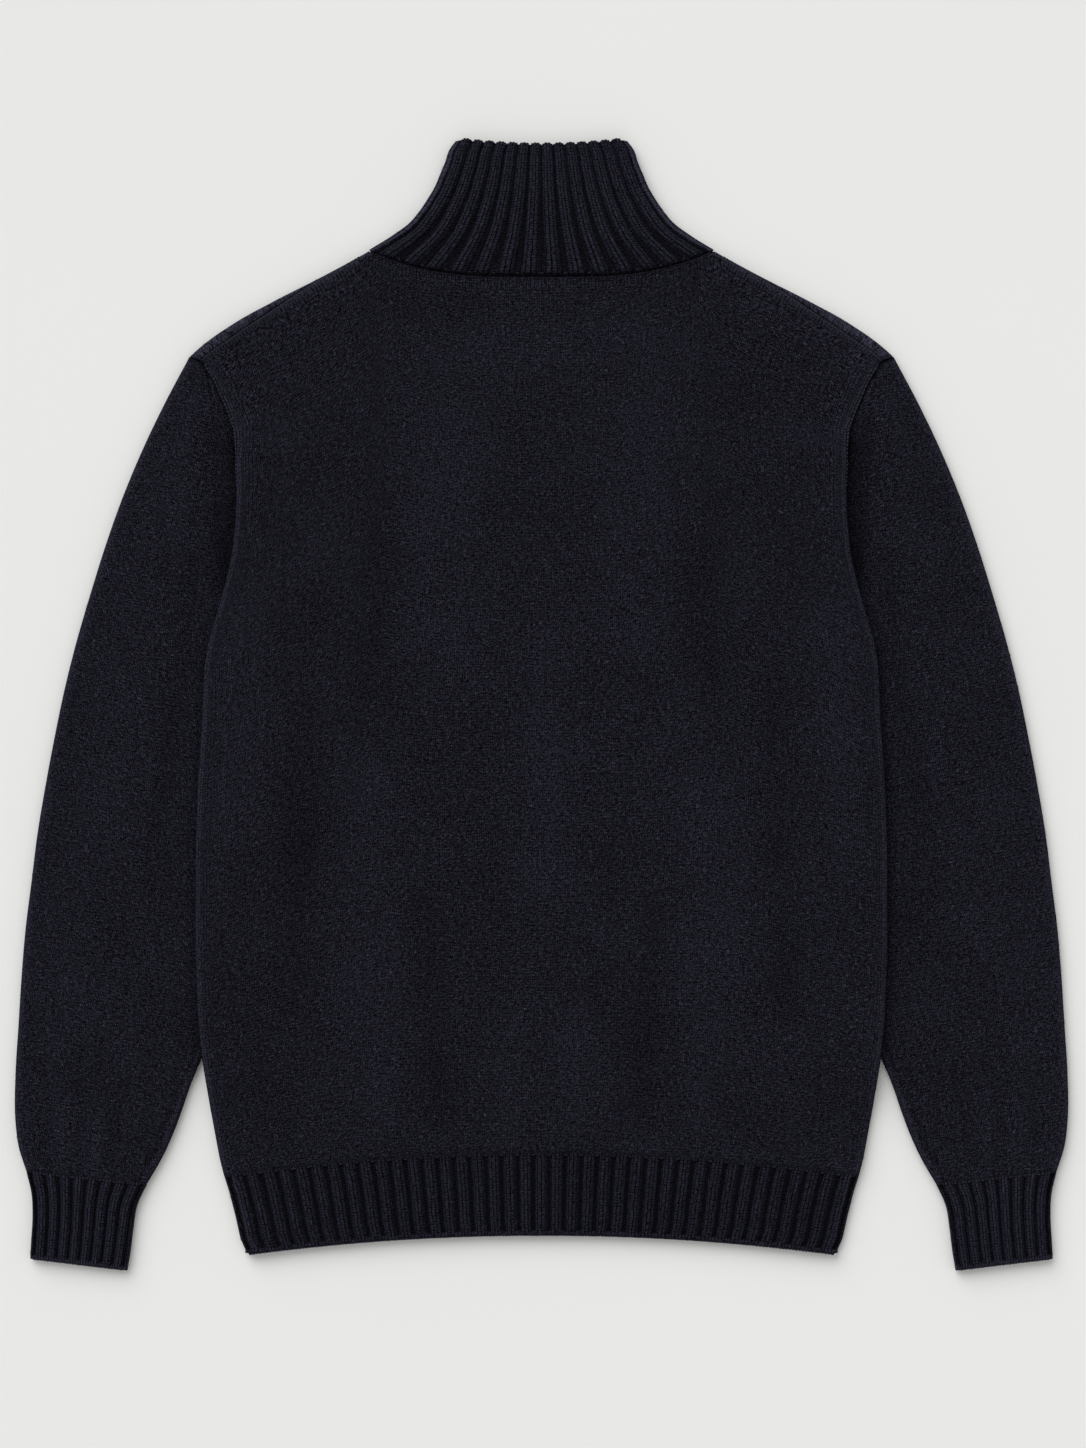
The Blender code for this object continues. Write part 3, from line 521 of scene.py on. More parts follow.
def rib_under(rise, turned):
    """Height of a band's underside."""
    return UNDER_RIB * (1 - rise) + RIM_RISE * (1 - turned)


def cloth_rows(name, rows, mat, wales=True, **more):
    """A shell of cloth from its rows of outer points, inner points, stitches and painted shading.
    """
    outer, inner, uv, hollow = map(np.array, zip(*rows))
    clear = 1 - 0.7 * np.maximum(hollow, 0) if wales else 0 * hollow
    return cloth_object(name, outer, inner, uv, mat, (hollow, clear), **more)


def make_hem(upward, name, mat):
    shares = rib_columns(HEM_RIBS)
    base = HEM_HIGH if upward else 0
    run, rise_out, run_in, rise_in = side_roll(SIDE_TURN, HEM_HIGH, HEM_WALL if upward else WALL)
    turn = smooth(run / run[-1])
    level, level_in = (base - rise_out, base - rise_in) if upward else (rise_out, rise_in)
    ribs = mirrored(1 + 0.003 * np.arange(1, ROLL_STEPS + 1), shares, -1) * HEM_RIBS
    rows = []
    for far in rib_rows(HEM_DEEP, middle=22):
        near = HEM_DEEP - far
        x_side = side_x(HEM_CORNER - far) - run[-1]
        x = shares * x_side
        rise, hollow = rib_shape(shares, HEM_RIBS, far, near, valley=0.19)
        beside = (1 - np.abs(shares)) * x_side
        # painted shade in the valleys and a little over the whole band, painted highlights on the
        # rib crests and on the first rib's edge beside the side
        hollow = hollow + 0.27 - 0.12 * rise ** 6 - 0.6 * hump(beside, 3.6, 1.3)
        y = hem_line(x, HEM_TOP - far) - scallop(shares * HEM_RIBS, rise, near, deep=0.8)
        if upward:
            z, z_in = rib_top(HEM_LOW, HEM_HIGH, BODY_HIGH, HEM_RISE, rise, far, near), HEM_LOW
        else:
            z, z_in = rib_under(rise, turned_edge(near)), WALL
        y_end = hem_line(x_side, HEM_TOP - far)
        side = points(x_side + run, y_end, level + (z[-1] - base) * (1 - turn) ** 2)
        side_in = points(x_side + run_in, y_end, mix(z_in, level_in, turn))
        # a painted highlight on the band's rolled side
        side_painted_shading = mix(0.7 * hollow[-1], -0.35, np.linspace(0, 1, ROLL_STEPS))
        rows.append((mirrored(side, points(x, y, z), FLIP),
                     mirrored(side_in, points(x, y, z_in), FLIP),
                     points(ribs * RIB_WALES / 2, -far / COURSE),
                     mirrored(side_painted_shading, hollow, 1)))
    return cloth_rows(name, rows, mat)


def make_tube(name, side, mat, lines, stations, section):
    """A flattened sleeve or cuff between four lines: its start, its end and its two edges.

    section gives its height, those of its inner faces, the shares across it of its top and its
    bottom, the stitches round it (0 counts them along and across the sleeve instead) and
    shape_at, which returns the rise, the moves in x and y and the painted shading of each point.
    """
    low, high_line, edge_one, edge_two = lines
    high, gap_low, gap_high, top_shares, bottom, wales, shape_at = section
    radius = high / 2
    part = np.repeat((2, 1, 3, 0), (len(bottom), len(HALF_TURN), len(top_shares), len(HALF_TURN)))
    under, far_side, top, near_side = part == 2, part == 1, part == 3, part == 0
    shares = np.concatenate((bottom, HALF_TURN * 0, top_shares[::-1], HALF_TURN * 0))
    angles = np.concatenate((bottom * 0, HALF_TURN, top_shares * 0, HALF_TURN[::-1]))
    layers = ((radius, radius, 0, high),
              ((gap_high - gap_low) / 2, (gap_low + gap_high) / 2, gap_low, gap_high))
    ends = low(ENDS), high_line(ENDS)
    rows, along_cloth, before = [], 0, None
    for share_v in stations:
        def place(at):
            return field(low(at), high_line(at), edge_one(share_v), edge_two(share_v), at,
                         share_v, ends)

        line = place(np.linspace(0, 1, TUBE_POINTS))
        wide = float(np.sum(np.linalg.norm(np.diff(line, axis=0), axis=1)))
        if before is not None:
            along_cloth += float(np.linalg.norm(line[TUBE_POINTS // 2] - before))
        before = line[TUBE_POINTS // 2]
        row = []
        for size, z_mid, z_bottom, z_top in layers:
            shift = (radius - size * np.sin(angles)) / wide
            flat_at = mix(radius / wide, 1 - radius / wide, shares)
            at = np.where(far_side, 1 - shift, np.where(near_side, shift, flat_at))
            z = np.where(under, z_bottom, np.where(top, z_top, z_mid - size * np.cos(angles)))
            spot = place(at)
            across = (at * wide - radius) / (wide - 2 * radius)
            rise, move, hollow = shape_at(spot, at, across, share_v, wide, along_cloth,
                                          size == radius, under)
            if size == radius:
                outer_painted_shading = hollow
            weight = np.where(under, 1, smooth((z - z_mid) / max(size, 0.5)))
            row.append(points((spot[:, 0] + move[0]) * side, spot[:, 1] + move[1],
                              z + rise * weight))
        if wales:
            if not rows:
                steps = np.linalg.norm(np.diff(row[0], axis=0, append=row[0][:1]), axis=1)
                first_ring = (np.cumsum(steps) - steps) / np.sum(steps) * wales
            uv = points(first_ring, -along_cloth / COURSE)
        else:
            x, y, z = row[0].T
            down = np.cos(at * math.pi) * (high - z)
            uv = points((SLEEVE_COS * x * side + SLEEVE_SIN * y + down) / WALE,
                        (SLEEVE_COS * y - SLEEVE_SIN * x * side) / COURSE)
        rows.append((*row, uv, outer_painted_shading))
    return cloth_rows(name, rows, mat, wales, closed=True, turn=wales)


def make_sleeve(side, name, mat):
    low = path(ARMHOLE)
    shift, strength = (0, 1) if side > 0 else (6, 0.9)

    def shape_at(spot, at, across, share_v, wide, along, outside, under):
        x, y = spot.T
        creased = strength * folds(SLEEVE_FOLDS, x, y + shift)
        seam = (1 - at) * wide
        rise = creased - 2.5 * hump(along, 0, 2.2) - 0.8 * hump(seam, 7, 1.3) * (share_v > 0.45)
        tuck = 1.5 * hump(along, 0, 1.2) * ~under * smooth(6 * at * (1 - at) + 0.4)
        lean = unit(low(np.minimum(at + 0.01, 1)) - low(np.maximum(at - 0.01, 0)))

        # painted shade beside the body and at the armhole, painted shade and light on the folds,
        # the inner seam's line as painted shade with a painted highlight beside it, and a painted
        # highlight along both edges
        beside = (x - side_x(y)) / mix(5, 10, smooth(y, 60, 120))
        shaded = mix(0.28, 0.72, smooth(y, 60, 110)) * smooth(y, 215, 175)
        hollow = shaded * np.exp(-beside ** 2) + 0.5 * hump(along, 0, 1.6)
        hollow = hollow - np.clip(0.12 * creased, -0.25, 0.03)
        seam_line = 0.45 * hump(seam, 6.5, 1.1) - 0.35 * hump(seam, 3.2, 1.8)
        hollow = hollow + smooth(share_v, 0.5, 0.7) * seam_line - 0.3 * hump(at * wide, 2.2, 1.8)
        return rise * ~under, (tuck * lean[:, 1], -tuck * lean[:, 0]), hollow * ~under

    stations = np.unique(np.concatenate([np.linspace(*span) for span in SLEEVE_ROWS]))
    section = (SLEEVE_HIGH, WALL, SLEEVE_HIGH - WALL, np.linspace(0, 1, SLEEVE_TOP),
               np.linspace(0, 1, SLEEVE_BOTTOM), 0, shape_at)
    lines = low, path((SLEEVE_OUTER[-1], SLEEVE_INNER[-1])), path(SLEEVE_OUTER), path(SLEEVE_INNER)
    return make_tube(name, side, mat, lines, stations, section)


def make_cuff(side, name, mat):
    long = length(CUFF_OUTER)

    def shape_at(spot, at, across, share_v, wide, along, outside, under):
        far = share_v * long
        near = long - far
        ribs = 2 * across - 1
        rise, hollow = rib_shape(ribs, CUFF_RIBS, far, near, valley=0.14)
        reach = 0.42 * hump(far, 0, 1.5)
        if not outside:
            return 0, (0, reach), hollow
        upper = rib_top(HEM_LOW, CUFF_HIGH, SLEEVE_HIGH, CUFF_RISE, rise, far, near) - CUFF_HIGH
        # painted shade in the valleys and a little over the whole cuff, and a painted highlight on
        # the rib crests
        return (np.where(under, rib_under(rise, turned_edge(near)), upper),
                (0, reach - scallop(ribs * CUFF_RIBS, rise, near, deep=0.7)),
                1.2 * hollow + 0.14 - 0.3 * rise ** 6)

    ribs = (rib_columns(CUFF_RIBS) + 1) / 2
    section = CUFF_HIGH, WALL, HEM_LOW, ribs, ribs, CUFF_WALES, shape_at
    lines = (path((CUFF_OUTER[0], CUFF_INNER[0])), path((CUFF_OUTER[-1], CUFF_INNER[-1])),
             path(CUFF_OUTER), path(CUFF_INNER))
    return make_tube(name, side, mat, lines, rib_rows(long, middle=24) / long, section)


def collar_side(share):
    """The collar's folded side edge and the directions inward from it, back then front."""
    line = path(COLLAR_SIDE)
    along = line(min(1, share + 0.02)) - line(max(0, share - 0.02))
    inward = np.array((-along[1], along[0])) / np.linalg.norm(along)
    inward = mix(inward, np.array((-1, 0.1)), smooth(share, 0.8, 1))
    seam = smooth(share, 0, 0.15)
    return line(share), *(mix(np.array(way), inward, seam) for way in ((-0.86, -0.51),
                                                                       (-0.64, -0.77)))


def collar_row(front, u, share_v, radius):
    """Points across half of the collar's back or front, at a share of its height."""
    neck = path(FRONT_NECK if front else BACK_NECK)
    first = SLIT if front else 0

    def corner(share):
        point, back_way, front_way = collar_side(share)
        return point + (front_way if front else back_way) * radius

    def base(at):
        return neck(at * CORNER_SHARE) + np.array((0, SEAM_GAP))

    def rim(at):
        x_end, y_end = corner(1)
        if front:
            return points(mix(first, x_end, at), mix(COLLAR_FRONT_TOP, y_end, at ** 2.2))
        return points(x_end * at, y_end - COLLAR_TOP_DIP * (1 - at * at))

    ends = base(ENDS), rim(ENDS)
    centre = np.array((first, mix(ends[0][0, 1], ends[1][0, 1], share_v)))
    return field(base(u), rim(u), centre, corner(share_v), u, share_v, ends)


def make_collar(side, name, mat):
    long = length(COLLAR_SIDE)
    shares = rib_columns(COLLAR_RIBS)
    front_shares = (rib_columns(COLLAR_RIBS // 2) + 1) / 2
    ribs = np.concatenate((np.linspace(1.004, 1.055, len(HALF_TURN)),
                           np.linspace(1.06, 2, len(front_shares))))
    ribs = mirrored(ribs, shares, -1) * COLLAR_RIBS
    rows = []
    for far in rib_rows(long, middle=34):
        share_v, near = far / long, long - far
        low = mix(*COLLAR_LOW, smooth(share_v, 0, 0.35))
        high = low + COLLAR_WALL
        radius = high / 2
        back = collar_row(False, np.abs(shares), share_v, radius)
        back[:, 0] *= np.sign(shares)
        valley = mix(0.40, 0.08, smooth(share_v, 0, 0.85))
        rise, hollow = rib_shape(shares, COLLAR_RIBS, far + 1, near + 3, valley)
        crown = math.sin(math.pi * min(1, share_v * 1.1)) * (1 - shares ** 2)
        tuck = hump(far, 0, 1.1)
        z = mix(high - VALLEY_DEEP, high + COLLAR_RISE, rise) - 3 * hump(far, 0, 2.8) + crown
        turned = turned_edge(near, 2)
        z = rimmed(low, np.maximum(z, low + RIM_WALL), turned) - 0.75 * tuck
        # painted shade in the groove along the seam and in the valleys, stronger higher up, and a
        # painted highlight on the rib crests
        groove_painted_shade = np.exp(-(far / (2.9 - 1.3 * shares ** 2)) ** 4)
        hollow = hollow * mix(0.6, 1.1, smooth(share_v, 0, 0.6)) - 0.3 * rise ** 6
        back[:, 1] -= 0.9 * tuck * smooth(np.abs(shares), 1, 0.9)
        lift = 1.6 * rise * smooth(near, 4, 0)
        back_out = points(back[:, 0], back[:, 1] + lift, z)
        back_in = points(*back.T, low - 0.26 * tuck)

        front = collar_row(True, front_shares, share_v, radius)
        lower, under_painted_shading = rib_shape(2 * front_shares - 1, COLLAR_RIBS // 2, far, near,
                                        valley=0.2)
        point, back_way, front_way = collar_side(share_v)
        way = mix(front_way, back_way, HALF_TURN[:, None] / math.pi)

        def half(front_z, size, middle):
            reach = (radius - size * np.sin(HALF_TURN))[:, None]
            turn = points(*(point + way * reach).T, middle - size * np.cos(HALF_TURN))
            return np.vstack((points(*front.T, front_z), turn))[::-1]

        side_out = half(rib_under(lower, turned), radius, radius)
        side_in = half(COLLAR_FRONT, (low - COLLAR_FRONT) / 2, (low + COLLAR_FRONT) / 2)
        # a painted highlight round the folded side, then painted shade in the front's valleys
        side_painted_shading = np.concatenate((np.full(len(HALF_TURN), -0.8), under_painted_shading[::-1]))
        rows.append((mirrored(side_out, back_out, FLIP), mirrored(side_in, back_in, FLIP),
                     points(ribs * RIB_WALES / 2, far / COURSE),
                     mirrored(side_painted_shading, np.maximum(hollow, groove_painted_shade), 1)))
    return cloth_rows(name, rows, mat)


# ---- finishes ----

def shade(tree, kind, settings=(), **sockets):
    """A node's first output, with its sockets set to a value or joined to another output."""
    made = tree.nodes.new(kind)
    for key, value in settings:
        setattr(made, key, value)
    for key, value in sockets.items():
        numbered = key[0] == "i" and key[1:].isdigit()
        fill(tree, made.inputs[int(key[1:]) if numbered else key.replace("_", " ")], value)
    return made.outputs[0]


def fill(tree, socket, value):
    if isinstance(value, bpy.types.NodeSocket):
        tree.links.new(value, socket)
    else:
        socket.default_value = value


def sum_of(tree, kind, one, two=0, three=0):
    return shade(tree, "ShaderNodeMath", (("operation", kind),), i0=one, i1=two, i2=three)


def times(tree, one, two, plus=None):
    """one * two, and plus a third where there is one."""
    return sum_of(tree, "MULTIPLY" if plus is None else "MULTIPLY_ADD", one, two, plus or 0)


def vector(tree, **parts):
    return shade(tree, "ShaderNodeCombineXYZ", **parts)


def blend_colours(tree, share, one, two):
    made = shade(tree, "ShaderNodeMix", (("data_type", "RGBA"),), i0=share, i6=one, i7=two)
    return made.node.outputs[2]


def new_finish(name):
    mat = bpy.data.materials.new(name)
    mat.use_nodes = True
    return mat, mat.node_tree, mat.node_tree.nodes.new("ShaderNodeTexCoord").outputs["Object"]


def set_shader(tree, colour, height, strength, relief, **values):
    bump = shade(tree, "ShaderNodeBump", Strength=strength, Distance=relief, Height=height)
    inputs = tree.nodes["Principled BSDF"].inputs
    for label, value in values.items():
        inputs[label.replace("_", " ")].default_value = value
    fill(tree, inputs["Base Color"], colour)
    fill(tree, inputs["Normal"], bump)


def knit_finish(name, dark, light):
    """Fuzzy wool knit: two slanted legs to each stitch, light flecks and small uneven spots.

    The stitches show through the wool most where "clear" is 1. Where the painted-shading attribute
    is above 0 the knit is painted dark, as shade down in a valley; below 0 it gets a painted
    highlight, as on a rolled edge.
    """
    mat, tree, place = new_finish(name)
    op, by = partial(sum_of, tree), partial(times, tree)
    noise = partial(shade, tree, "ShaderNodeTexNoise", Vector=place)
    clear, hollow = [shade(tree, "ShaderNodeAttribute", (("attribute_name", label),))
                     for label in ("clear", "hollow")]
    stitches = shade(tree, "ShaderNodeUVMap", (("uv_map", "stitches"),))
    across, up = shade(tree, "ShaderNodeSeparateXYZ", Vector=stitches).node.outputs[:2]

    # the wool wanders off the grid of stitches, less where they are clear
    drift = noise(Scale=190, Detail=2)
    shift = by(op("SUBTRACT", drift, 0.5), by(clear, -0.75, 1.1))
    across = by(shift, 1.2, across)
    up = by(shift, -1.5, up)

    # a stitch: a ridge along each leg, with rounds of yarn that slant up to the middle
    leg = by(op("PINGPONG", across, 0.5), 2)
    slant = by(leg, -0.5, up)
    turns = op("SINE", by(slant, 2 * math.pi))
    stitch = by(op("SINE", by(leg, math.pi)), by(turns, 0.30, 0.62))
    wale = op("SINE", by(op("FRACT", across), math.pi))
    wale = by(by(wale, wale), clear)
    seen = by(stitch, by(clear, 0.2, 0.7))
    seen = by(wale, 0.72, seen)

    # flecks are strands that run aslant; fuzz is fine and broad is the cloth's uneven tone
    slope = by(up, 1.9, by(across, -0.85))
    strands = vector(tree, X=by(across, 1.25), Y=slope)
    fleck = noise(Vector=strands, Scale=1, Detail=2, Distortion=0.6)
    fuzz = noise(Scale=1500, Detail=1)
    broad = noise(Scale=16, Detail=4, Roughness=0.6)

    high = by(fuzz, 0.4, by(fleck, 1.5, seen))
    # a painted highlight where the painted shading is below 0
    lit = op("MINIMUM", hollow, 0)
    tone = -2.045
    for layer, weight in ((seen, 1.1), (clear, -0.42), (lit, -0.7), (fleck, 2.95), (fuzz, 0.8),
                          (broad, 0.3)):
        tone = by(layer, weight, tone)
    tone = op("POWER", shade(tree, "ShaderNodeClamp", i0=tone), 1.3)
    colour = blend_colours(tree, tone, dark, light)
    # painted shade: the knit blended towards near-black where the painted shading is above 0
    colour = blend_colours(tree, by(hollow, 0.84), colour, PAINTED_SHADE_COLOUR)
    set_shader(tree, colour, high, 1, 0.0017, Roughness=0.92, Specular_IOR_Level=0.05,
               Sheen_Weight=0.04, Sheen_Roughness=0.25, Sheen_Tint=(0.55, 0.58, 1, 1))
    return mat


def plain_finish(name, colour, rough=0.9, metal=0, grain=1500, relief=0.0003, light=None):
    """Yarn, woven tape or cast metal: fine grain round one colour, or up to a light one."""
    mat, tree, place = new_finish(name)
    noise = shade(tree, "ShaderNodeTexNoise", Vector=place, Scale=grain, Detail=3)
    low, high = (colour, light) if light else (np.array(colour) * share for share in (0.6, 1.4))
    set_shader(tree, blend_colours(tree, noise, (*low, 1), (*high, 1)), noise, 0.6, relief,
               Roughness=rough, Metallic=metal, Specular_IOR_Level=0.5 if metal else 0.05)
    return mat


knit = knit_finish("navy_wool_knit", (0.0020, 0.0019, 0.0037, 1), (0.0450, 0.0443, 0.0700, 1))
rib = knit_finish("navy_wool_rib", (0.0011, 0.0010, 0.0022, 1), (0.0395, 0.0389, 0.0625, 1))
yarn = plain_finish("navy_seam_yarn", (0.017, 0.017, 0.025))
# lighter and darker copies of the seam yarn: a painted highlight for loops on seams and edges,
# painted shade for loops down in the valleys
painted_light_yarn = plain_finish("navy_bright_yarn", (0.028, 0.028, 0.041))
painted_shade_yarn = plain_finish("navy_valley_yarn", (0.0055, 0.0054, 0.0085))
lint = plain_finish("navy_loose_fibre", (0.050, 0.050, 0.066), grain=900, relief=0)
tape = plain_finish("navy_zip_tape", (0.007, 0.0075, 0.013), 0.8, grain=2500, relief=0.0001)
metal = plain_finish("dull_zip_metal", (0.30, 0.30, 0.31), 0.38, 1, 900, 0.00002)


# ---- stitches, fibres and zip teeth ----

def new_tree(name, **inputs):
    """A Geometry Nodes tree with named inputs, and its input sockets by name."""
    tree = bpy.data.node_groups.new(name, "GeometryNodeTree")
    for label, kind in (("Geometry", "Geometry"), *inputs.items()):
        tree.interface.new_socket(label.replace("_", " "), in_out="INPUT",
                                  socket_type="NodeSocket" + kind)
    tree.interface.new_socket("Geometry", in_out="OUTPUT", socket_type="NodeSocketGeometry")
    return tree, tree.nodes.new("NodeGroupInput").outputs


def close_tree(tree, spots, shape, finish, **lay):
    """The shape on every spot, as faces of its own with their finish."""
    placed = shade(tree, "GeometryNodeInstanceOnPoints", Points=spots, Instance=shape, **lay)
    real = shade(tree, "GeometryNodeRealizeInstances", Geometry=placed)
    made = shade(tree, "GeometryNodeSetMaterial", Geometry=real, Material=finish)
    tree.links.new(made, tree.nodes.new("NodeGroupOutput").inputs[0])
    return tree


def stored(tree, label):
    """A vector that each point holds under this name."""
    return shade(tree, "GeometryNodeInputNamedAttribute", (("data_type", "FLOAT_VECTOR"),),
                 Name=label)


def facing(tree):
    """The turn that lays an instance along "way" with its top towards "up"."""
    way, up = stored(tree, "way"), stored(tree, "up")
    turn = shade(tree, "FunctionNodeAlignRotationToVector", (("axis", "X"),), Vector=way)
    return shade(tree, "FunctionNodeAlignRotationToVector", (("axis", "Z"), ("pivot_axis", "X")),
                 Rotation=turn, Vector=up)


def uneven(tree, spread, seed):
    """A number for each point, between 1 less the spread and 1 more."""
    made = shade(tree, "FunctionNodeRandomValue", i2=sum_of(tree, "SUBTRACT", 1, spread),
                 i3=sum_of(tree, "ADD", 1, spread), Seed=seed)
    return made.node.outputs[1]


def stitch_tree():
    """A plump little loop of yarn on every point."""
    tree, given = new_tree("yarn_loops", Unevenness="Float", Yarn="Material")
    loop = shade(tree, "GeometryNodeMeshUVSphere", Segments=6, Rings=4, Radius=0.5)
    loop = shade(tree, "GeometryNodeSetShadeSmooth", Geometry=loop)
    scale = shade(tree, "ShaderNodeVectorMath", (("operation", "SCALE"),),
                  i0=stored(tree, "size"), i3=uneven(tree, given["Unevenness"], 5))
    return close_tree(tree, given["Geometry"], loop, given["Yarn"], Rotation=facing(tree),
                      Scale=scale)


def fibre_tree():
    """A thin arched hair of wool on every point."""
    tree, given = new_tree("loose_fibres", Length="Float", Arch="Float", Thickness="Float",
                           Fibre="Material")
    half, bend = (times(tree, given["Length"], share) for share in (0.5, 0.3))
    ends = [vector(tree, X=times(tree, half, side), Y=bend if side else 0,
                   Z=0 if side else given["Arch"]) for side in (-1, 0, 1)]
    hair = shade(tree, "GeometryNodeCurveQuadraticBezier", Resolution=4, Start=ends[0],
                 Middle=ends[1], End=ends[2])
    ring = shade(tree, "GeometryNodeCurvePrimitiveCircle", Resolution=3,
                 Radius=times(tree, given["Thickness"], 0.5))
    hair = shade(tree, "GeometryNodeCurveToMesh", Curve=hair, Profile_Curve=ring, Fill_Caps=True)
    scale = vector(tree, X=uneven(tree, 0.5, 3), Y=uneven(tree, 0.9, 4), Z=1)
    return close_tree(tree, given["Geometry"], hair, given["Fibre"], Rotation=facing(tree),
                      Scale=scale)


def teeth_tree():
    """A row of zip teeth, each a bar with a rounded head at its inner end."""
    tree, given = new_tree("zip_teeth", Teeth="Int", First="Vector", Pitch="Float",
                           Reach="Float", Head_place="Float", Thickness="Float", Width="Float",
                           Metal="Material")
    body = shade(tree, "GeometryNodeMeshCube", Size=vector(
        tree, X=given["Reach"], Y=given["Width"], Z=given["Thickness"]))
    head = shade(tree, "GeometryNodeMeshUVSphere", Segments=8, Rings=4,
                 Radius=times(tree, given["Width"], 0.52))
    head = shade(tree, "GeometryNodeTransform", Geometry=head, Scale=(1, 1, 1.35),
                 Translation=vector(tree, X=given["Head place"]))
    tooth = shade(tree, "GeometryNodeJoinGeometry", i0=head)
    tree.links.new(body, tooth.node.inputs[0])
    row = shade(tree, "GeometryNodeMeshLine", Count=given["Teeth"], Start_Location=given["First"],
                Offset=vector(tree, Y=given["Pitch"]))
    return close_tree(tree, row, tooth, given["Metal"])


def applied(name, data, kind, settings):
    """The plain mesh that one modifier makes of the data, and nothing left of the draft."""
    draft = put(name + "_draft", data)
    work = draft.modifiers.new(name, kind)
    settings(work)
    view = bpy.context.evaluated_depsgraph_get()
    shape = bpy.data.meshes.new_from_object(draft.evaluated_get(view))
    draft.modifiers.remove(work)
    bpy.data.objects.remove(draft)
    shape.name = name
    return shape


def given_finish(name, shape, finish):
    shape.materials.clear()
    shape.materials.append(finish)
    shape.polygons.foreach_set("material_index", [0] * len(shape.polygons))
    return put(name, shape)


def made_by(tree, name, spots, values):
    """The plain mesh a tree makes from its points; each point has a place, way, up and size."""
    mesh = bpy.data.meshes.new(name + "_points")
    places, *sides = (np.array(part, float) for part in zip(*spots or [((0, 0, 0),)]))
    mesh.from_pydata((places * MM).tolist(), [], [])
    for label, part in zip(("way", "up", "size"), sides):
        part *= MM if label == "size" else 1
        mesh.attributes.new(label, "FLOAT_VECTOR", "POINT").data.foreach_set("vector", part.ravel())

    def settings(work):
        work.node_group = tree
        for item in tree.interface.items_tree:
            if item.in_out == "INPUT" and item.name in values:
                work[item.identifier] = values[item.name]

    finish = next(value for value in values.values() if isinstance(value, bpy.types.Material))
    return given_finish(name, applied(name, mesh, "NODES", settings), finish)


def rounded_part(node, name, finish, width):
    """A hard part of the zip with its edges rounded."""
    builder = bmesh.new()
    builder.from_mesh(bpy.data.objects[node].data)
    bmesh.ops.remove_doubles(builder, verts=builder.verts[:], dist=1e-6)
    bmesh.ops.dissolve_limit(builder, angle_limit=0.01, verts=builder.verts[:],
                             edges=builder.edges[:])
    bmesh.ops.recalc_face_normals(builder, faces=builder.faces[:])
    mesh = bpy.data.meshes.new(name + "_plain")
    builder.to_mesh(mesh)
    builder.free()

    def settings(work):
        work.width, work.segments, work.limit_method = width * MM, 2, "ANGLE"

    return given_finish(name, applied(name, mesh, "BEVEL", settings), finish)


def stitched(line, gap, size, start=0, stop=0, slant=None, sink=0):
    """Stitches at even steps on a line of points: along it or, with a slant, across it.

    size is (long, wide, high), or a function of the distance along the line that gives it.
    """
    marks = np.concatenate(([0], np.cumsum(np.linalg.norm(np.diff(line, axis=0), axis=1))))
    spots = []

    def at_distance(far):
        return np.array([np.interp(far, marks, line[:, k]) for k in range(3)])

    for at in np.arange(start, marks[-1] - stop, gap):
        place = at_distance(at) - np.array((0, 0, sink))
        way = unit(at_distance(at + 0.3) - at_distance(at - 0.3))
        if slant is not None:
            cos, sin = math.cos(math.radians(slant)), math.sin(math.radians(slant))
            way = np.array((-way[1] * cos - way[0] * sin, way[0] * cos - way[1] * sin, 0))
        spots.append((place, way, (0, 0, 1), size(at) if callable(size) else size))
    return spots


def seam_loops():
    """Places of the yarn loops: on seams and edges in yarn with a painted highlight, in the valleys
    in yarn with painted shade.
    """
    per_rib, folded = len(RIB_STEPS), len(HALF_TURN) + 1
    light, dark, plain = [], [], []

    def collar_size(far):
        return mix(5.8, 1.8, smooth(far, 0, 75)), 1, 1

    def ribbed(name, first, count, gap, size, top, slant=0, start=1.7, lit=light):
        band = grids[name][0]
        for number in range(1, count):
            line = band[:, first + number * per_rib]
            dark.extend(stitched(line, gap, size, start + 1.8, 5, slant))
            lit.extend(stitched(line, ONCE, top, start, slant=12 * math.sin(5 * number)))
        edge = band[-3, first:first + count * per_rib + 1]
        plain.extend(stitched(edge, WALE, (2.1, 1.3, 1.2), 1, 0.5, sink=0.1))

    ribbed("hem_rib_back_knit", ROLL_STEPS, HEM_RIBS, COURSE, (2.7, 1.1, 0.9), (3.3, 1.2, 1.3))
    ribbed("collar_knit", COLLAR_RIBS // 2 * per_rib + folded, COLLAR_RIBS, 1.9, collar_size,
           (3.6, 1.4, 1.4), 24, 3.4, plain)
    for name in ("cuff_left_knit", "cuff_right_knit"):
        ribbed(name, CUFF_RIBS * per_rib + folded, CUFF_RIBS, COURSE, (2.2, 1, 0.9),
               (2.8, 1.2, 1.2))

    back = grids["back_panel_knit"][0]
    middle = back.shape[1] // 2
    for side in (-1, 1):
        columns = middle + side * np.arange(NECK_COLUMNS + 2, middle + 1)
        light.extend(stitched(back[-2, columns], 2.3, (2, 1.2, 1), 1, 1))
        plain.extend(stitched(back[-4, columns], 2.4, (6, 1.2, 0.8), 1, 4, 0))
        edge = back[:, middle + side * (middle - 1)]
        edge = edge[(edge[:, 1] > MARK_Y) & (edge[:, 1] < MARK_END)]
        light.extend(stitched(edge, 2.8, (2.2, 1.2, 0.9), 1))
        for x, y in FASHION_MARKS:
            light.append(((side * x, y, BODY_HIGH + body_lift(x, y, BACK_RAMP)),
                          (0.3 * side, 1, 0), (0, 0, 1), (2.6, 1.2, 1)))
        slit = np.array([(side * (SLIT + 1.4), y, 0.25) for y in SLIT_STITCHES])
        plain.extend(stitched(slit, 3.4, (2.5, 0.7, 0.5)))
    return light, dark, plain


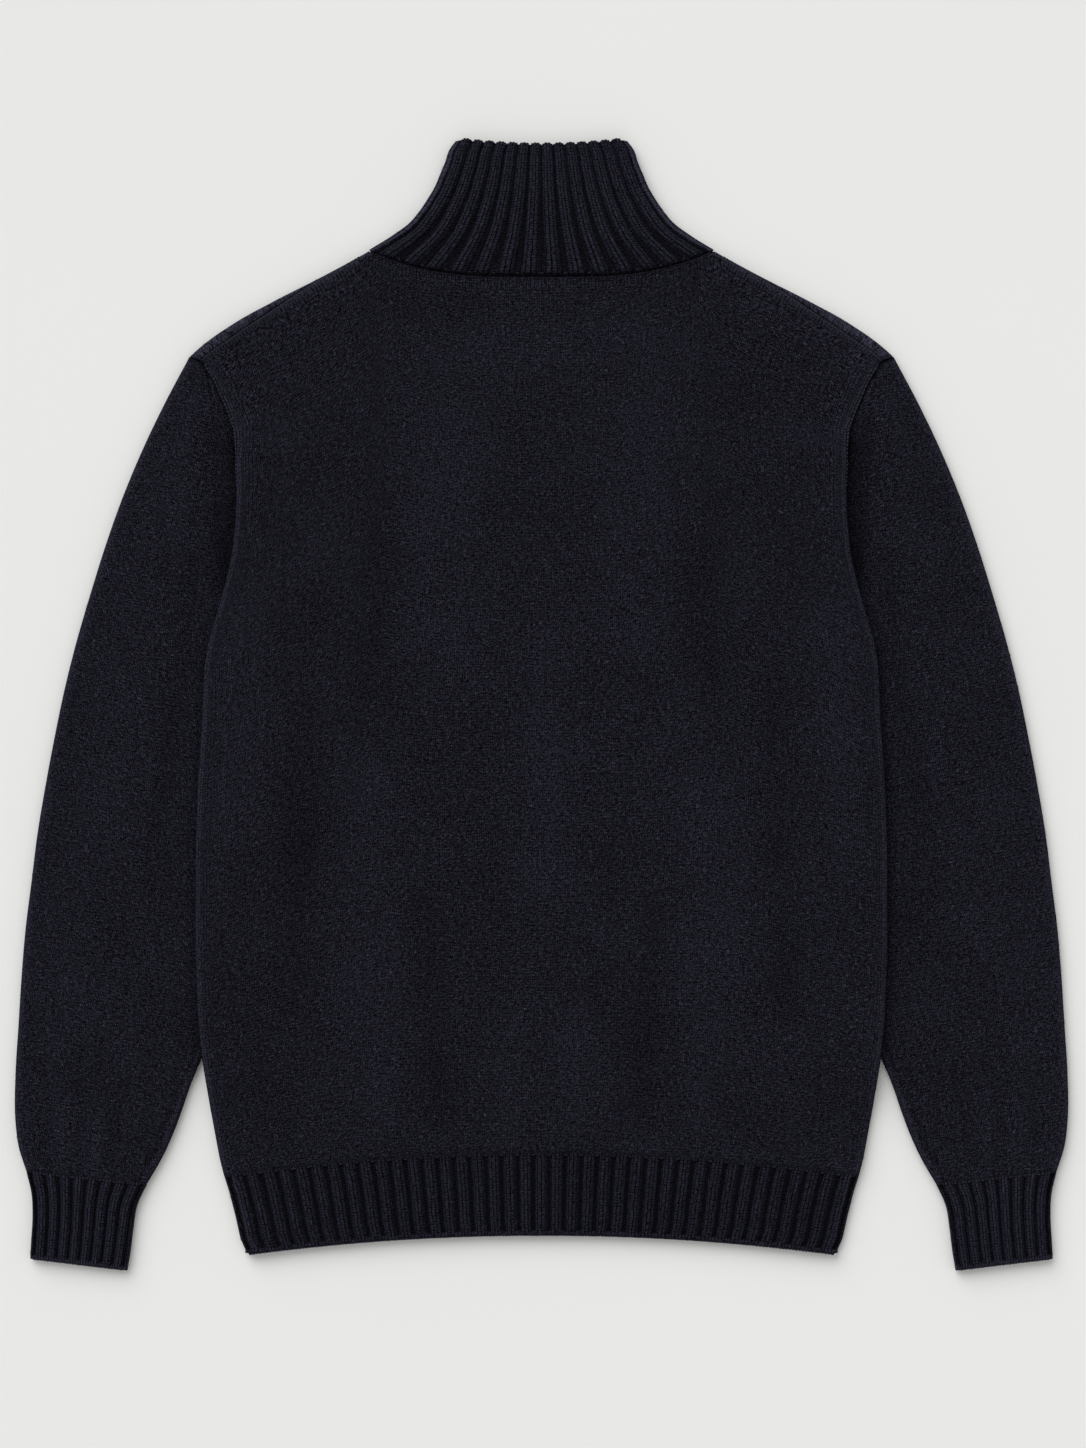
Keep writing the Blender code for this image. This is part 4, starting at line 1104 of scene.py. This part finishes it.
def wool_hairs(count, seed):
    """Places for loose fibres all over the cloth's outer faces, evenly by area."""
    chance = np.random.default_rng(seed)
    corners, outward = [], []
    for outer, inner in grids.values():
        cells = [outer[:-1, :-1], outer[:-1, 1:], outer[1:, 1:], outer[1:, :-1]]
        corners.append(np.stack([cell.reshape(-1, 3) for cell in cells], 1))
        outward.append((outer - inner)[:-1, :-1].reshape(-1, 3))
    corners, outward = np.concatenate(corners), np.concatenate(outward)
    normal = np.cross(corners[:, 2] - corners[:, 0], corners[:, 3] - corners[:, 1])
    area = np.linalg.norm(normal, axis=1)
    picked = chance.choice(len(area), count, p=area / area.sum())
    normal = unit(normal) * np.sign(np.einsum("ij,ij->i", normal, outward))[:, None]
    u, v = chance.random((2, count, 1))
    square = corners[picked]
    place = mix(mix(square[:, 0], square[:, 1], u), mix(square[:, 3], square[:, 2], u), v)
    up = normal[picked]
    way = chance.normal(size=(count, 3))
    way = unit(way - up * np.sum(way * up, axis=1, keepdims=True))
    seen = (up[:, 2] > -0.2) & (place[:, 2] > 2)
    return list(zip(place[seen], way[seen], up[seen], np.ones((count, 3))[seen]))


# ---- the garment ----

# each sheet: its maker and side, node, slot, flat size and area in metres, what it rests on
SHEETS = (
    (make_panel, True, "back_panel", "knit", (0.49, 0.64), 0.285,
     ["front_panel", "sleeve_left", "sleeve_right"]),
    (make_panel, False, "front_panel", "knit", (0.49, 0.64), 0.285,
     ["sleeve_left", "sleeve_right"]),
    (make_hem, True, "hem_rib_back", "rib", (0.445, 0.057), None, ["hem_rib_front"]),
    (make_hem, False, "hem_rib_front", "rib", (0.445, 0.057), None, []),
    (make_sleeve, -1, "sleeve_left", "knit", (0.34, 0.58), 0.14, []),
    (make_sleeve, 1, "sleeve_right", "knit", (0.34, 0.58), 0.14, []),
    (make_cuff, -1, "cuff_left", "rib", (0.155, 0.060), None, []),
    (make_cuff, 1, "cuff_right", "rib", (0.155, 0.060), None, []),
    (make_collar, 0, "collar", "rib", (0.40, 0.092), None, []),
)
for make, side, node, slot, flat, area, under in SHEETS:
    piece = make(side, node + "_knit", {"knit": knit, "rib": rib}[slot])
    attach(piece, "sweater")
    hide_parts(node)

painted_light_loops, painted_shade_loops, plain_loops = seam_loops()
loops = stitch_tree()
hair = {"Length": 3.2 * MM, "Arch": 0.7 * MM, "Thickness": 0.16 * MM, "Fibre": lint}
# loops in yarn with a painted highlight on seams, in yarn with painted shade in the valleys
sewn = [
    (made_by(loops, "seam_loops", painted_light_loops, {"Unevenness": 0.15, "Yarn": painted_light_yarn}), "knit"),
    (made_by(loops, "valley_loops", painted_shade_loops, {"Unevenness": 0.12, "Yarn": painted_shade_yarn}), "rib"),
    (made_by(loops, "edge_loops", plain_loops, {"Unevenness": 0.12, "Yarn": yarn}), "rib"),
    (made_by(fibre_tree(), "wool_hairs", wool_hairs(HAIRS, HAIR_SEED), hair), "knit"),
]
teeth = teeth_tree()
for name, side, start in (("zip_teeth_left", -1, 0), ("zip_teeth_right", 1, TOOTH_PITCH / 2)):
    middle = side * TOOTH_REACH * 0.5 * MM
    values = {"Teeth": TEETH, "First": (middle, (SLIT_END + start) * MM, TOOTH_Z * MM),
              "Pitch": TOOTH_PITCH * MM, "Reach": TOOTH_REACH * MM, "Head place": -middle,
              "Thickness": 1.7 * MM, "Width": 1.15 * MM, "Metal": metal}
    sewn.append((made_by(teeth, name, [], values), "zip_metal"))
for piece, slot in sewn:
    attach(piece, "sweater")

for node, body in (("zip_slider", "sweater"), ("zip_pull", "pull")):
    part = rounded_part(node, node + "_round", metal, 0.16)
    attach(part, body)
    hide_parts(node)
for name in ("zip_tape_left", "zip_tape_right"):
    for slot in bpy.data.objects[name].material_slots:
        slot.material = tape


# ---- floor, light and camera: in metres ----

half, level = 3, -0.0004
mesh = bpy.data.meshes.new("pale_floor")
mesh.from_pydata([(-half, -half, level), (half, -half, level), (half, half, level),
                  (-half, half, level)], [], [(0, 1, 2, 3)])
mesh.materials.append(plain_finish("pale_floor", (0.769, 0.769, 0.755), grain=3, relief=0,
                                   light=(0.787, 0.787, 0.773)))
put("pale_floor", mesh)

world = bpy.data.worlds.new("studio")
bpy.context.scene.world = world
world.use_nodes = True
sky = world.node_tree.nodes["Background"].inputs
sky["Color"].default_value = (1, 1, 1, 1)
sky["Strength"].default_value = 0.62
lamp = bpy.data.lights.new("window", "SUN")
lamp.energy = 2.15
lamp.angle = math.radians(55)
put("window", lamp).rotation_euler = (math.radians(-52), 0, math.radians(32))

# straight above; view_wide is what the longer side of the picture takes in
away, middle_high, view_wide = 2.5, 0.006, 1.0136
lens = bpy.data.cameras.new("overhead")
lens.type = "PERSP"
lens.sensor_width = 36
lens.lens = lens.sensor_width * (away - middle_high) / view_wide
camera = put("overhead", lens)
camera.location = (0.00105, -0.0133, away)
bpy.context.scene.camera = camera
bpy.context.scene.view_settings.view_transform = "Standard"
bpy.context.scene.view_settings.look = "None"
